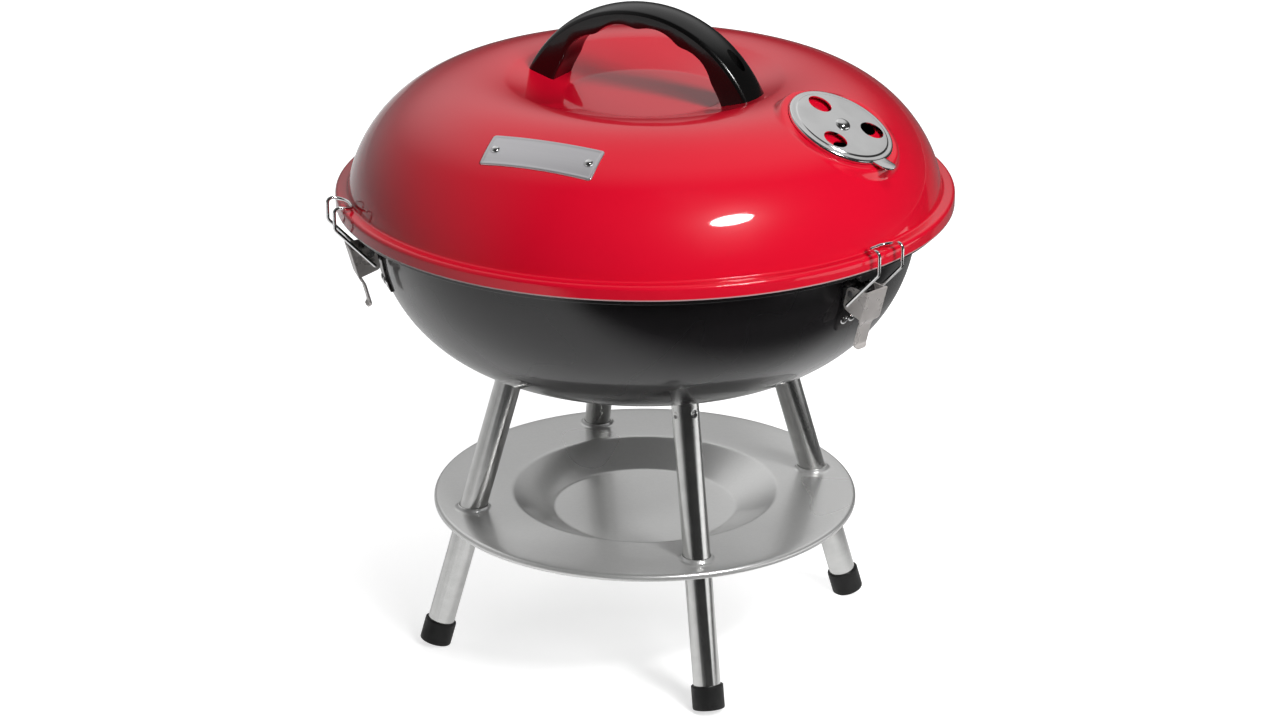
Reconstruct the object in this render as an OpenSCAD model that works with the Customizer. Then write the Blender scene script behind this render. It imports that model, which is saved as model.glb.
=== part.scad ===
// Portable table-top charcoal grill: a kettle bowl on four splayed legs, a latched lid and an ash catcher.
// Millimetres, +Z up. The origin is on the table, on the bowl's axis.

/* [Rim] */
// Outer radius of the lid's skirt
rim_r = 178; // [165:1:190]
// Height of the closed lid's ledge above the table
ledge_z = 277.5; // [262:0.5:295]
// Height of the lid's skirt
skirt_h = 8.3; // [6:0.1:10]
// Thickness of the enamelled sheet
sheet = 1; // [0.8:0.1:1.4]
// Radius of the rim's rolled edges
edge_r = 2.4; // [1.6:0.1:3]
// Radial gap between the lid's skirt and the bowl's lip
lip_gap = 2; // [1:0.1:4]
// Height of the bowl's turned-down lip
lip_h = 10.3; // [8:0.1:13]

/* [Lid] */
// Turn of the lid on the bowl, in degrees
lid_turn = 0; // [-180:1:180]
// How far inside the skirt the dome meets the ledge
dome_inset = 7; // [6.6:0.1:9]
// Radius of the dome's shoulder
shoulder_r = 79; // [65:1:90]
// Height of the dome above the ledge
lid_rise = 63.8; // [56:0.1:72]
// Radius of the sunk handle dish at its edge
recess_r = 80; // [76:1:84]
// Width of the dish's sloping wall
recess_w = 34; // [30:1:38]
// Depth of the dish
recess_d = 10; // [9:0.5:12]

/* [Handle] */
// Height of the handle's top above the dish
handle_h = 52.4; // [48:0.1:56]
// Radius of the handle's top
handle_top_r = 81; // [79:1:84]
// Radius of the handle's underside
handle_low_r = 58.5; // [56:0.5:61]
// Thickness of the handle at its middle
handle_t = 13; // [11:0.5:16]
// Width of the handle
handle_w = 23.5; // [18:0.5:26]
// Distance between the handle's screws
handle_pitch = 129; // [124:1:132]
// Radius of a finger hollow
finger_r = 22; // [16:1:26]
// Depth of a finger hollow
finger_d = 3.2; // [2:0.1:4]
// Angle from one finger hollow to the next
finger_step = 27; // [24:0.5:30]

/* [Vents] */
// Angle of the lid's vent from the handle's direction
vent_turn = -4; // [-30:1:30]
// Distance of the lid's vent from the axis
vent_at = 129; // [120:1:134]
// Depth of the vent's seat below the dome
seat_sink = 3; // [2:0.5:4]
// Radius of a vent disc
disc_r = 31.2; // [29:0.1:33]
// How far the vent's seat reaches past its disc
seat_margin = 5.3; // [4:0.1:7]
// Radius of a vent hole
hole_r = 7; // [5:0.5:8]
// Radius of the vents' hole circle
hole_at = 18.6; // [16:0.1:20]
// Angle of the disc's holes
disc_turn = 50; // [0:1:119]
// How far the disc is turned off the lid's holes
vent_shut = 22; // [0:1:60]

/* [Badge] */
// Width of the badge plate
badge_w = 67; // [50:1:72]
// Height of the badge plate
badge_h = 21.5; // [14:0.5:24]
// Distance of the badge from the axis
badge_at = 131.5; // [124:0.5:142]
// Angle of the badge from the handle's direction
badge_turn = -86.5; // [-110:0.5:-70]

/* [Bowl] */
// How far the bowl's wall lies inside the lid's skirt
neck_in = 21.3; // [18:0.1:26]
// Radius of the bowl's lower bend
bowl_bend_r = 85; // [70:1:95]
// Radius of the bowl's bottom
bowl_crown_r = 393; // [330:1:600]
// Depth of the bowl below its flange
bowl_depth = 112; // [100:1:124]
// Distance of the cooking grate below the flange
grate_drop = 14; // [10:1:18]
// Spacing of the cooking grate's rods
rod_pitch = 15; // [12:1:20]

/* [Latches] */
// Angle of the first latch
latch_turn = 225; // [0:1:360]
// Radius of the bail's wire
wire_r = 1; // [0.8:0.1:1.2]
// How far the bail stands out from the skirt
bail_out = 6; // [4:0.5:9]
// How far the bail hooks over the ledge
bail_hook = 5.3; // [4.6:0.1:5.5]
// Bend of the bail's loop at its corners
bail_bend = 7; // [3:0.5:7.5]
// Distance of the lever's pivot from the bowl's wall
pivot_out = 7; // [6:0.5:9]
// Distance of the lever's pivot below the ledge
pivot_drop = 25.5; // [23:0.5:29]

/* [Stand] */
// Outer radius of a leg
leg_r = 7.9; // [6.5:0.1:9]
// Wall of a leg's tube
leg_wall = 1.2; // [0.8:0.1:1.8]
// Lean of the legs, in degrees
leg_lean = 16.4; // [12:0.1:19]
// Distance of a foot's centre from the axis
foot_at = 130; // [120:1:140]
// Wall of a foot cap
foot_wall = 1.4; // [1:0.1:2.5]
// Height of a foot cap
foot_h = 14; // [11:0.5:18]
// Radius of the ash catcher
catcher_r = 125.5; // [120:0.5:134]
// Height of the ash catcher above the table
catcher_z = 85; // [70:1:95]
// Depth of the ash catcher's turned-down edge
catcher_edge = 3.6; // [3:0.1:8]
// Depth of the ash catcher's dish
dish_d = 12; // [8:1:16]
// Radius of the ash catcher's dish
dish_r = 79; // [70:1:84]

/* [Hidden] */
$fn = 96;
fit = 0.05;
gap = 0.3;
hook_gap = 0.75;
flange_z = ledge_z - sheet;
lip_r = rim_r - sheet - lip_gap;
wall_r = rim_r - neck_in;
bowl_z = flange_z - bowl_depth;
shoulder_x = rim_r - dome_inset - sqrt(pow(shoulder_r, 2) - pow(shoulder_r - lid_rise, 2));
shoulder_z = ledge_z + lid_rise - shoulder_r;
recess_z = shoulder_z + sqrt(pow(shoulder_r, 2) - pow(shoulder_x - recess_r, 2)) - recess_d;
rivet_r = 2.5;
small_rivet_r = 1.5;
seat_r = disc_r + seat_margin;
vent_lean = asin((vent_at - shoulder_x) / shoulder_r);
badge_lean = asin((badge_at - shoulder_x) / shoulder_r);
badge_t = 0.9;
bottom_flat = 1.6;
vent_seat_z = bowl_z + bottom_flat;
grate_wire = 2.4;
grate_z = flange_z - grate_drop;
grate_gap = 2.6;
grate_r = wall_r - sheet - grate_gap - grate_wire;
rod_r = 1.5;
coal_wire = 2.2;
coal_rod_r = 1.8;
coal_share = 0.24;
coal_z = bowl_z + coal_share * bowl_depth;
bend_x = wall_r - bowl_bend_r;
bend_z = bowl_z + bowl_crown_r - sqrt(pow(bowl_crown_r - bowl_bend_r, 2) - pow(bend_x, 2));
coal_r = bend_x + sqrt(pow(bowl_bend_r - sheet - coal_wire - fit, 2) - pow(bend_z - coal_z, 2));
screw_r = 2.2;
screw_seat = 8;
bolt_r = 2.6;
plug_h = 22;
leg_washer_r = leg_r - 0.9;
base_t = 1.5;
pin_r = 1.5;
ear_y = 6.6;
ear_t = 1.4;
side_y = 7.2;
side_t = 1.2;
bail_y = side_y + side_t + gap + wire_r;
pivot = [wall_r + pivot_out, ledge_z - pivot_drop];
latch_rivet_z = pivot[1] - 19;
latch_rivet_at = bend_x + sqrt(pow(bowl_bend_r, 2) - pow(max(0, bend_z - latch_rivet_z), 2));
link = pivot + [-2.4, -7.5];
hook = [rim_r - bail_hook, ledge_z + wire_r + hook_gap];
knee = [rim_r + bail_out, ledge_z + 4.5];
elbow = [rim_r + bail_out, ledge_z - 9];
lever_top = pivot + [10.5, 3];
lever_mid = pivot + [5.6, -14];
lever_end = pivot + [-1, -32];
lever_tip = pivot + [1.2, -34];
foot_r = leg_r + foot_wall;
foot_z = foot_r * sin(leg_lean) - 1;
leg_top = bowl_z + 26;
joint_s = (bowl_z + 8 - foot_z) / cos(leg_lean);
stake_turn = 24.5;

red = [0.75, 0.02, 0.06];
black = [0.04, 0.04, 0.045];
chrome = [0.8, 0.8, 0.82];
silver = [0.66, 0.67, 0.68];

// Half-section of a dish with its apex up at y = 0: a crown arc, a tangent bend arc and an upright wall.
module dish_2d(wall, bend, crown, depth) {
    kx = wall - bend;
    ky = sqrt(pow(crown - bend, 2) - pow(kx, 2)) - crown;
    reach = 2 * crown / (crown - bend);
    intersection() {
        translate([0, -depth]) square([2 * wall, 2 * depth]);
        union() {
            intersection() {
                translate([0, -crown]) circle(crown);
                polygon([[0, -crown], [reach * kx, reach * (ky + crown) - crown], [0, crown]]);
            }
            translate([kx, ky]) circle(bend);
            if (depth > -ky) translate([0, -depth]) square([wall, depth + ky]);
        }
    }
}

// The handle's dish, let out by d so that the sheet keeps its thickness.
module recess_2d(d) {
    run = recess_w / recess_d;
    foot = recess_r - recess_w + d * (sqrt(1 + run * run) - run);
    edge = recess_r + 2 + d;
    polygon([[0, recess_z - d], [foot, recess_z - d], [edge, recess_z - d + (edge - foot) / run],
        [edge, recess_z + 3 * recess_d], [0, recess_z + 3 * recess_d]]);
}

// Half-section of the lid as if it were filled, drawn in by d.
module lid_2d(d) {
    difference() {
        union() {
            intersection() {
                translate([shoulder_x, shoulder_z]) circle(shoulder_r - d);
                translate([0, ledge_z - 2]) square([rim_r, 2 * lid_rise]);
            }
            translate([0, ledge_z - 2]) square([recess_r - 5, lid_rise + 2]);
        }
        recess_2d(d);
    }
    translate([0, ledge_z - skirt_h - d]) square([rim_r - d, skirt_h + d - edge_r]);
    translate([0, ledge_z - edge_r - 1]) square([rim_r - edge_r, edge_r + 1 - d]);
    translate([rim_r - edge_r, ledge_z - edge_r]) circle(edge_r - d);
}

module on_lid() {
    rotate([0, 0, lid_turn]) children();
}

// Places children on the lid's vent seat, with +Z out of the lid.
module on_vent() {
    on_lid() rotate([0, 0, vent_turn]) translate([shoulder_x, 0, shoulder_z]) rotate([0, vent_lean, 0])
        translate([0, 0, shoulder_r - seat_sink]) children();
}

// Places children on the dome where the badge sits, with +Z out of the lid and +X to the badge's right.
module on_badge() {
    on_lid() rotate([0, 0, badge_turn]) translate([shoulder_x, 0, shoulder_z]) rotate([0, badge_lean, 0])
        translate([0, 0, shoulder_r]) rotate([0, 0, 90]) children();
}

// Places children at the handle's screws, with +Z square to the dish's wall.
module each_screw() {
    at = handle_pitch / 2;
    rise = (at - recess_r + recess_w) * recess_d / recess_w;
    on_lid() for (turn = [0, 180]) rotate([0, 0, turn]) translate([at, 0, recess_z + rise])
        rotate([0, -atan2(recess_d, recess_w), 0]) children();
}

module each_rivet() {
    on_badge() for (s = [-1, 1]) translate([s * (badge_w / 2 - 5.5), 0, -1]) children();
}

// The lid as if it were filled, drawn in by d, with the vent's seat.
module lid_solid(d) {
    difference() {
        rotate_extrude() lid_2d(d);
        on_vent() translate([0, 0, -d]) cylinder(r = seat_r + d, h = 30);
    }
    on_vent() translate([0, 0, -d - 16]) cylinder(r = seat_r - d, h = 16);
}

module vent_holes(turn) {
    for (i = [0:2]) rotate([0, 0, turn + 120 * i]) translate([hole_at, 0, -6]) cylinder(r = hole_r, h = 12);
    translate([0, 0, -6]) cylinder(r = rivet_r + fit, h = 12);
}

module lid_shell() {
    color(red) difference() {
        lid_solid(0);
        lid_solid(sheet);
        on_vent() vent_holes(disc_turn + vent_shut);
        each_screw() translate([0, 0, -5]) cylinder(r = screw_r + fit, h = 10);
        each_rivet() translate([0, 0, -5]) cylinder(r = small_rivet_r + fit, h = 10);
    }
}

// Side view of the handle, with the dish's floor at y = 0.
module handle_2d() {
    low_y = handle_h - handle_t - handle_low_r;
    difference() {
        intersection() {
            translate([0, handle_h - handle_top_r]) circle(handle_top_r);
            translate([-recess_r, 0]) square([2 * recess_r, 2 * handle_h]);
        }
        translate([0, low_y]) circle(handle_low_r);
        for (i = [-1.5:1:1.5]) translate([0, low_y]) rotate(-i * finger_step)
            translate([0, handle_low_r + finger_d - finger_r]) circle(finger_r);
    }
}

// Section of the handle's rounded back, as a ring about the centre of the handle's top.
module handle_back_2d() {
    crown = 30;
    intersection() {
        translate([handle_top_r - crown, 0]) circle(crown);
        translate([handle_top_r - 1.9 * crown, -handle_w]) square([2 * crown, 2 * handle_w]);
    }
}

module lid_handle() {
    color(black) difference() {
        on_lid() translate([0, 0, recess_z]) intersection() {
            rotate([90, 0, 0]) translate([0, 0, -handle_w / 2]) linear_extrude(handle_w) handle_2d();
            translate([0, 0, handle_h - handle_top_r]) rotate([90, 0, 0]) rotate_extrude() handle_back_2d();
        }
        rotate_extrude() lid_2d(0);
        each_screw() {
            translate([0, 0, -1]) cylinder(r = screw_r + 0.2, h = 40);
            translate([0, 0, screw_seat]) cylinder(r = 4.2, h = 40);
        }
    }
}

module handle_screws() {
    color(chrome) each_screw() {
        translate([0, 0, -sheet - 6]) cylinder(r = screw_r, h = sheet + 6.5 + screw_seat);
        translate([0, 0, screw_seat]) cylinder(r = 3.9, h = 2.4);
    }
}

module handle_washers() {
    color(chrome) each_screw() translate([0, 0, -sheet - 1]) difference() {
        cylinder(r = 6, h = 1);
        translate([0, 0, -1]) cylinder(r = screw_r + fit, h = 3);
    }
}

module handle_nuts() {
    color(chrome) each_screw() translate([0, 0, -sheet - 4.5]) difference() {
        cylinder(r = 4.3, h = 3.5, $fn = 6);
        translate([0, 0, -1]) cylinder(r = screw_r + fit, h = 6);
    }
}

// The dome's shoulder as a ring, let out by d.
module dome_solid(d) {
    rotate_extrude() intersection() {
        translate([shoulder_x, shoulder_z]) circle(shoulder_r + d);
        translate([0, ledge_z]) square([rim_r, 2 * lid_rise]);
    }
}

module badge_plate() {
    corner = 1.5;
    color(silver) difference() {
        intersection() {
            dome_solid(badge_t);
            on_badge() translate([0, 0, -8]) linear_extrude(16) {
                square([badge_w - 2 * corner, badge_h], center = true);
                square([badge_w, badge_h - 2 * corner], center = true);
                for (x = [-1, 1], y = [-1, 1])
                    translate([x * (badge_w / 2 - corner), y * (badge_h / 2 - corner)]) circle(corner);
            }
        }
        dome_solid(0);
        each_rivet() translate([0, 0, -5]) cylinder(r = small_rivet_r + fit, h = 12);
    }
}

// Everything below the badge's face at a rivet.
module below_badge_face() {
    translate([0, 0, -20 + 1 + badge_t]) cube([20, 20, 40], center = true);
}

module badge_rivets() {
    color(chrome) each_rivet() {
        translate([0, 0, -3]) cylinder(r = small_rivet_r, h = 5);
        difference() {
            translate([0, 0, -1.2]) sphere(r = 3.6);
            below_badge_face();
        }
        translate([0, 0, -3.4]) cylinder(r = 2.4, h = 1.2);
    }
}

// A vent disc with its pivot on the Z axis: flat plate, rolled edge, three holes and a finger tab.
module vent_disc() {
    roll = 1.7;
    difference() {
        union() {
            translate([0, 0, gap]) cylinder(r = disc_r - roll, h = 1);
            rotate_extrude() translate([disc_r - roll, gap + roll]) circle(roll);
            rotate([0, 0, disc_turn - 60]) translate([disc_r - 2, 0, gap + roll]) rotate([0, -12, 0]) {
                translate([0, -5.5, -0.6]) cube([6.5, 11, 1.2]);
                translate([6.5, 0, -0.6]) cylinder(r = 5.5, h = 1.2);
            }
        }
        vent_holes(disc_turn);
    }
}

module vent_rivet() {
    translate([0, 0, -sheet - 1]) cylinder(r = rivet_r, h = sheet + gap + 2.6);
    difference() {
        translate([0, 0, gap - 1.6]) sphere(r = 5.2);
        translate([0, 0, gap + 1.1 - 20]) cube(40, center = true);
    }
    translate([0, 0, -sheet - 1.4]) cylinder(r = 4.4, h = 1.4);
}

module lid_vent_disc() {
    color(chrome) on_vent() vent_disc();
}

module lid_vent_rivet() {
    color(chrome) on_vent() vent_rivet();
}

// Half-section of the bowl as if it were filled, drawn in by d.
module bowl_2d(d) {
    translate([0, bowl_z + d]) difference() {
        mirror([0, 1]) dish_2d(wall_r - d, bowl_bend_r - d, bowl_crown_r - d, bowl_depth - d);
        square([2 * disc_r + 12, 2 * bottom_flat], center = true);
    }
}

module bowl_solid(d) {
    rotate_extrude() bowl_2d(d);
}

// Places children at a leg's foot, with +Z up along the leg.
module on_leg(i) {
    rotate([0, 0, 45 + 90 * i]) translate([foot_at, 0, foot_z]) rotate([0, -leg_lean, 0]) children();
}

module on_latch(i) {
    rotate([0, 0, latch_turn + 120 * (i - 1)]) children();
}

module latch_rivet_places(i) {
    on_latch(i) for (y = [-1, 1]) translate([latch_rivet_at, y * 3.2, latch_rivet_z])
        rotate([0, 90, 0]) children();
}

// Half-section of a sheet's edge, rolled over at radius r and height z and turned down by drop.
module rolled_edge_2d(r, z, drop) {
    difference() {
        translate([r - edge_r, z - edge_r]) circle(edge_r);
        translate([r - edge_r, z - edge_r]) circle(edge_r - sheet);
        translate([r - 3 * edge_r, z - 3 * edge_r]) square([2 * edge_r, 4 * edge_r]);
        translate([r - 3 * edge_r, z - 3 * edge_r]) square([4 * edge_r, 2 * edge_r]);
    }
    translate([r - sheet, z - drop]) square([sheet, drop - edge_r]);
}

module bowl_shell() {
    color(black) difference() {
        rotate_extrude() {
            difference() {
                bowl_2d(0);
                bowl_2d(sheet);
                translate([0, flange_z - sheet]) square([2 * wall_r, 10]);
            }
            translate([wall_r - sheet, flange_z - sheet]) square([lip_r - wall_r + sheet - edge_r, sheet]);
            rolled_edge_2d(lip_r, flange_z, lip_h);
        }
        translate([0, 0, vent_seat_z]) vent_holes(disc_turn);
        for (i = [0:3]) on_leg(i) cylinder(r = bolt_r + fit, h = leg_top);
        for (i = [1:3]) latch_rivet_places(i) translate([0, 0, -10])
            cylinder(r = small_rivet_r + fit, h = 20);
    }
}

module bowl_vent_disc() {
    color(chrome) translate([0, 0, vent_seat_z]) mirror([0, 0, 1]) vent_disc();
}

module bowl_vent_rivet() {
    color(chrome) translate([0, 0, vent_seat_z]) mirror([0, 0, 1]) vent_rivet();
}

module grate_rests() {
    for (i = [0:2]) color(chrome) rotate([0, 0, latch_turn + 60 + 120 * i]) intersection() {
        bowl_solid(sheet);
        union() {
            difference() {
                translate([wall_r - 12, -8, grate_z - grate_wire - 16]) cube([20, 16, 16]);
                bowl_solid(sheet + 1.2);
            }
            translate([wall_r - 14, -8, grate_z - grate_wire - 1.2]) cube([20, 16, 1.2]);
        }
    }
}

// A straight round rod from one point to another.
module rod(from, to, r) {
    span = to - from;
    translate(from) rotate([0, acos(span[2] / norm(span)), atan2(span[1], span[0])])
        cylinder(r = r, h = norm(span));
}

function unit(v) = v / norm(v);

// A round wire of radius r through points, with corner n bent to radius bends[n].
module wire(points, r, bends) {
    last = len(points) - 1;
    dirs = [for (n = [0:last - 1]) unit(points[n + 1] - points[n])];
    trims = [for (n = [0:last]) n == 0 || n == last ? 0 : bends[n] * tan(acos(dirs[n - 1] * dirs[n]) / 2)];
    for (n = [0:last - 1])
        rod(points[n] + trims[n] * dirs[n], points[n + 1] - trims[n + 1] * dirs[n], r);
    for (n = [1:last - 1]) {
        u = dirs[n - 1];
        v = dirs[n];
        inward = unit(v - (v * u) * u);
        axis = cross(u, inward);
        centre = points[n] - trims[n] * u + bends[n] * inward;
        multmatrix([for (k = [0:2]) [-inward[k], u[k], axis[k], centre[k]]])
            rotate_extrude(angle = acos(u * v)) translate([bends[n], 0]) circle(r);
        translate(points[n] - trims[n] * u) sphere(r = 1.02 * r);
        translate(points[n] + trims[n] * v) sphere(r = 1.02 * r);
    }
}

// A welded wire grate: a ring, parallel rods and two cross rods below them.
module grate(ring_r, wire, bar_r, pitch) {
    rows = floor((ring_r - 0.5 * pitch) / pitch);
    cross = 0.55 * ring_r;
    rotate_extrude() translate([ring_r, 0]) circle(wire);
    for (i = [-rows:rows]) {
        half = sqrt(pow(ring_r, 2) - pow(i * pitch, 2));
        rod([-half, i * pitch, 0], [half, i * pitch, 0], bar_r);
    }
    for (s = [-1, 1]) {
        half = sqrt(pow(ring_r, 2) - pow(cross, 2));
        rod([s * cross, -half, -0.7 * bar_r], [s * cross, half, -0.7 * bar_r], bar_r);
    }
}

module cooking_grate() {
    color(chrome) translate([0, 0, grate_z]) grate(grate_r, grate_wire, rod_r, rod_pitch);
}

module charcoal_grate() {
    color(silver) translate([0, 0, coal_z]) grate(coal_r, coal_wire, coal_rod_r, 1.4 * rod_pitch);
}

module latch_bases() {
    for (i = [1:3]) color(chrome) on_latch(i) difference() {
        union() {
            intersection() {
                bowl_solid(-base_t);
                translate([wall_r - 20, -ear_y, pivot[1] - 25]) cube([40, 2 * ear_y, 30]);
            }
            for (s = [-1, 1]) translate([0, s * (ear_y - ear_t / 2) + ear_t / 2, 0]) rotate([90, 0, 0])
                linear_extrude(ear_t) {
                    translate(pivot) circle(4);
                    polygon([pivot, pivot + [-pivot_out - 6, -11], pivot + [-pivot_out - 6, 4.5]]);
                }
        }
        bowl_solid(0);
        translate([pivot[0], 0, pivot[1]]) rotate([90, 0, 0])
            cylinder(r = pin_r + fit, h = 40, center = true);
        rotate([0, 0, -latch_turn - 120 * (i - 1)]) latch_rivet_places(i)
            translate([0, 0, -10]) cylinder(r = small_rivet_r + fit, h = 30);
    }
}

module latch_rivets() {
    for (i = [1:3]) color(chrome) difference() {
        union() {
            latch_rivet_places(i) translate([0, 0, -sheet - 2])
                cylinder(r = small_rivet_r, h = sheet + base_t + 3);
            latch_rivet_places(i) cylinder(r = 2.6, h = base_t + 2.2);
            latch_rivet_places(i) translate([0, 0, -sheet - 2.2]) cylinder(r = 2.6, h = 3);
        }
        difference() {
            bowl_solid(-base_t);
            bowl_solid(sheet);
            latch_rivet_places(i) translate([0, 0, -10]) cylinder(r = small_rivet_r, h = 30);
        }
    }
}

module latch_pins() {
    half = side_y + side_t + 0.6;
    for (i = [1:3]) color(chrome) on_latch(i) translate([pivot[0], 0, pivot[1]]) rotate([90, 0, 0]) {
        cylinder(r = pin_r, h = 2 * half, center = true);
        for (s = [-1, 1]) translate([0, 0, s * half]) cylinder(r = 2, h = 0.8, center = true);
    }
}

// Side view of a latch lever's plate: body, tail and a small outward lip.
module lever_plate_2d() {
    t = 1.2;
    polygon([lever_top, lever_mid, lever_end, lever_tip, lever_tip + [0.7, 1], lever_end + [1.1, 0.6],
        lever_mid + [t, 0], lever_top + [t, -0.4]]);
}

module lever_side_2d() {
    difference() {
        union() {
            polygon([pivot, lever_top + [0.4, -0.4], lever_mid + [0.4, 0], link]);
            translate(pivot) circle(3.6);
            translate(link) circle(3);
        }
        translate(pivot) circle(pin_r + fit);
        translate(link) circle(wire_r + fit);
    }
}

// Front view of a latch lever: a wide body over a narrower tail with rounded corners.
module lever_front_2d() {
    outer = side_y + side_t;
    tail = 5;
    corner = 3.2;
    low = lever_tip[1];
    translate([-outer, lever_mid[1] - 2]) square([2 * outer, 60]);
    translate([-tail, low + corner]) square([2 * tail, 40]);
    translate([corner - tail, low - 1]) square([2 * (tail - corner), 40]);
    for (s = [-1, 1]) translate([s * (tail - corner), low + corner]) circle(corner);
}

module latch_lever(i) {
    outer = side_y + side_t;
    color(chrome) on_latch(i) {
        intersection() {
            rotate([90, 0, 0]) translate([0, 0, -outer]) linear_extrude(2 * outer) lever_plate_2d();
            rotate([90, 0, 90]) linear_extrude(2 * rim_r) lever_front_2d();
        }
        for (s = [-1, 1]) translate([0, s * (side_y + side_t / 2) + side_t / 2, 0]) rotate([90, 0, 0])
            linear_extrude(side_t) lever_side_2d();
    }
}

// One half of a bail's path, from its end in the lever to the bar that hooks over the ledge.
function bail_half(s) = [[link[0], s * (side_y - 0.2), link[1]], [link[0], s * bail_y, link[1]],
    [elbow[0], s * bail_y, elbow[1]], [knee[0], s * bail_y, knee[1]], [hook[0], s * bail_y, hook[1]]];

module latch_bail(i) {
    half = bail_half(1);
    other = bail_half(-1);
    bends = [0, 1.3, 3, 3, bail_bend];
    color(chrome) on_latch(i) wire(concat(half, [for (n = [4:-1:0]) other[n]]),
        wire_r, concat(bends, [for (n = [4:-1:0]) bends[n]]));
}

module latch_lever_1() { latch_lever(1); }
module latch_lever_2() { latch_lever(2); }
module latch_lever_3() { latch_lever(3); }
module latch_bail_1() { latch_bail(1); }
module latch_bail_2() { latch_bail(2); }
module latch_bail_3() { latch_bail(3); }

// The dimples that hold a leg on its plug.
module stakes(i) {
    for (n = [0:3]) on_leg(i) rotate([0, 0, stake_turn + 90 * n])
        translate([leg_r + 1, 0, joint_s - 8]) sphere(r = 2);
}

module leg(i) {
    color(chrome) difference() {
        on_leg(i) translate([0, 0, 3]) cylinder(r = leg_r, h = leg_top);
        on_leg(i) translate([0, 0, 2]) cylinder(r = leg_r - leg_wall, h = leg_top + 2);
        bowl_solid(0);
        stakes(i);
    }
}

module leg_1() { leg(0); }
module leg_2() { leg(1); }
module leg_3() { leg(2); }
module leg_4() { leg(3); }

module leg_plugs() {
    for (i = [0:3]) color(silver) difference() {
        on_leg(i) translate([0, 0, joint_s - plug_h]) cylinder(r = leg_r - leg_wall, h = plug_h + 10);
        bowl_solid(0);
        on_leg(i) translate([0, 0, joint_s - plug_h + 5]) cylinder(r = bolt_r + fit, h = plug_h + 10);
    }
}

module leg_washers() {
    for (i = [0:3]) color(chrome) difference() {
        intersection() {
            on_leg(i) cylinder(r = leg_washer_r, h = leg_top);
            bowl_solid(sheet);
        }
        bowl_solid(sheet + 1.2);
        on_leg(i) cylinder(r = bolt_r + fit, h = leg_top);
    }
}

module leg_bolts() {
    for (i = [0:3]) color(chrome) {
        intersection() {
            on_leg(i) cylinder(r = 4.6, h = joint_s + 6, $fn = 6);
            bowl_solid(sheet + 1.2);
        }
        on_leg(i) translate([0, 0, joint_s - plug_h + 6]) cylinder(r = bolt_r, h = plug_h - 3);
    }
}

// Half-section of the ash catcher: flat dish, sloping side and brim with a turned-down edge.
module catcher_2d() {
    slope = 25;
    floor_z = catcher_z - dish_d;
    polygon([[0, floor_z - sheet], [dish_r - slope, floor_z - sheet], [dish_r, catcher_z - sheet],
        [catcher_r - edge_r, catcher_z - sheet], [catcher_r - edge_r, catcher_z], [dish_r, catcher_z],
        [dish_r - slope, floor_z], [0, floor_z]]);
    rolled_edge_2d(catcher_r, catcher_z, catcher_edge);
}

// The ash catcher, held by the legs' splay in four collared holes.
module ash_catcher() {
    collar_h = 2;
    color(silver) difference() {
        union() {
            rotate_extrude() catcher_2d();
            intersection() {
                for (i = [0:3]) on_leg(i) cylinder(r = leg_r + fit + sheet, h = leg_top);
                translate([0, 0, catcher_z - sheet]) cylinder(r = catcher_r - edge_r, h = sheet + collar_h);
            }
        }
        for (i = [0:3]) on_leg(i) cylinder(r = leg_r + fit, h = leg_top);
    }
}

module foot_cap(i) {
    color(black) difference() {
        on_leg(i) cylinder(r = foot_r, h = foot_h);
        on_leg(i) translate([0, 0, 3]) cylinder(r = leg_r, h = foot_h);
        translate([0, 0, -50]) cube([600, 600, 100], center = true);
    }
}

module foot_cap_1() { foot_cap(0); }
module foot_cap_2() { foot_cap(1); }
module foot_cap_3() { foot_cap(2); }
module foot_cap_4() { foot_cap(3); }

lid_shell();
lid_handle();
handle_screws();
handle_washers();
handle_nuts();
badge_plate();
badge_rivets();
lid_vent_disc();
lid_vent_rivet();
bowl_shell();
bowl_vent_disc();
bowl_vent_rivet();
grate_rests();
cooking_grate();
charcoal_grate();
latch_bases();
latch_rivets();
latch_pins();
latch_lever_1();
latch_lever_2();
latch_lever_3();
latch_bail_1();
latch_bail_2();
latch_bail_3();
leg_1();
leg_2();
leg_3();
leg_4();
leg_plugs();
leg_bolts();
leg_washers();
ash_catcher();
foot_cap_1();
foot_cap_2();
foot_cap_3();
foot_cap_4();
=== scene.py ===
"""Finished surfaces of a portable table-top charcoal grill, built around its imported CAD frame.

Laid out as an add-on: each operator makes one piece, or one group of like pieces, in metres.
"""
import math

import bmesh
import bpy
import numpy as np
from bpy.props import FloatProperty, FloatVectorProperty, IntProperty, PointerProperty
from bpy.types import Operator, Panel, PropertyGroup
from mathutils import Matrix, Vector


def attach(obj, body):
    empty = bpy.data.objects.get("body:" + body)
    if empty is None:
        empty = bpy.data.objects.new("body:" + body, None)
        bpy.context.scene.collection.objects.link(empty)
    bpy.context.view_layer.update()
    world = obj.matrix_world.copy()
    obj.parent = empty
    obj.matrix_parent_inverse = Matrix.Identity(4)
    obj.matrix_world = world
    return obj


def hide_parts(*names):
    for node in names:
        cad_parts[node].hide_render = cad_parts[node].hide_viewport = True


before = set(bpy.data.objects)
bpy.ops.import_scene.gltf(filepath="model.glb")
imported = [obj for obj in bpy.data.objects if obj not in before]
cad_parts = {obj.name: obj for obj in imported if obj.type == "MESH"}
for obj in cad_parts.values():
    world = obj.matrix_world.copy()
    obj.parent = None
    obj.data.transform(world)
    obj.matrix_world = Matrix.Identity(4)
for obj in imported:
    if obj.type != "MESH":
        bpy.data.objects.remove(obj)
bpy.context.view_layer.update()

bl_info = {
    "name": "Table-top Grill",
    "version": (1, 0, 0),
    "blender": (4, 5, 0),
    "location": "3D View > Sidebar > Grill",
    "description": "Makes the finished surfaces of a portable charcoal grill",
    "category": "Object",
}

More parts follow.
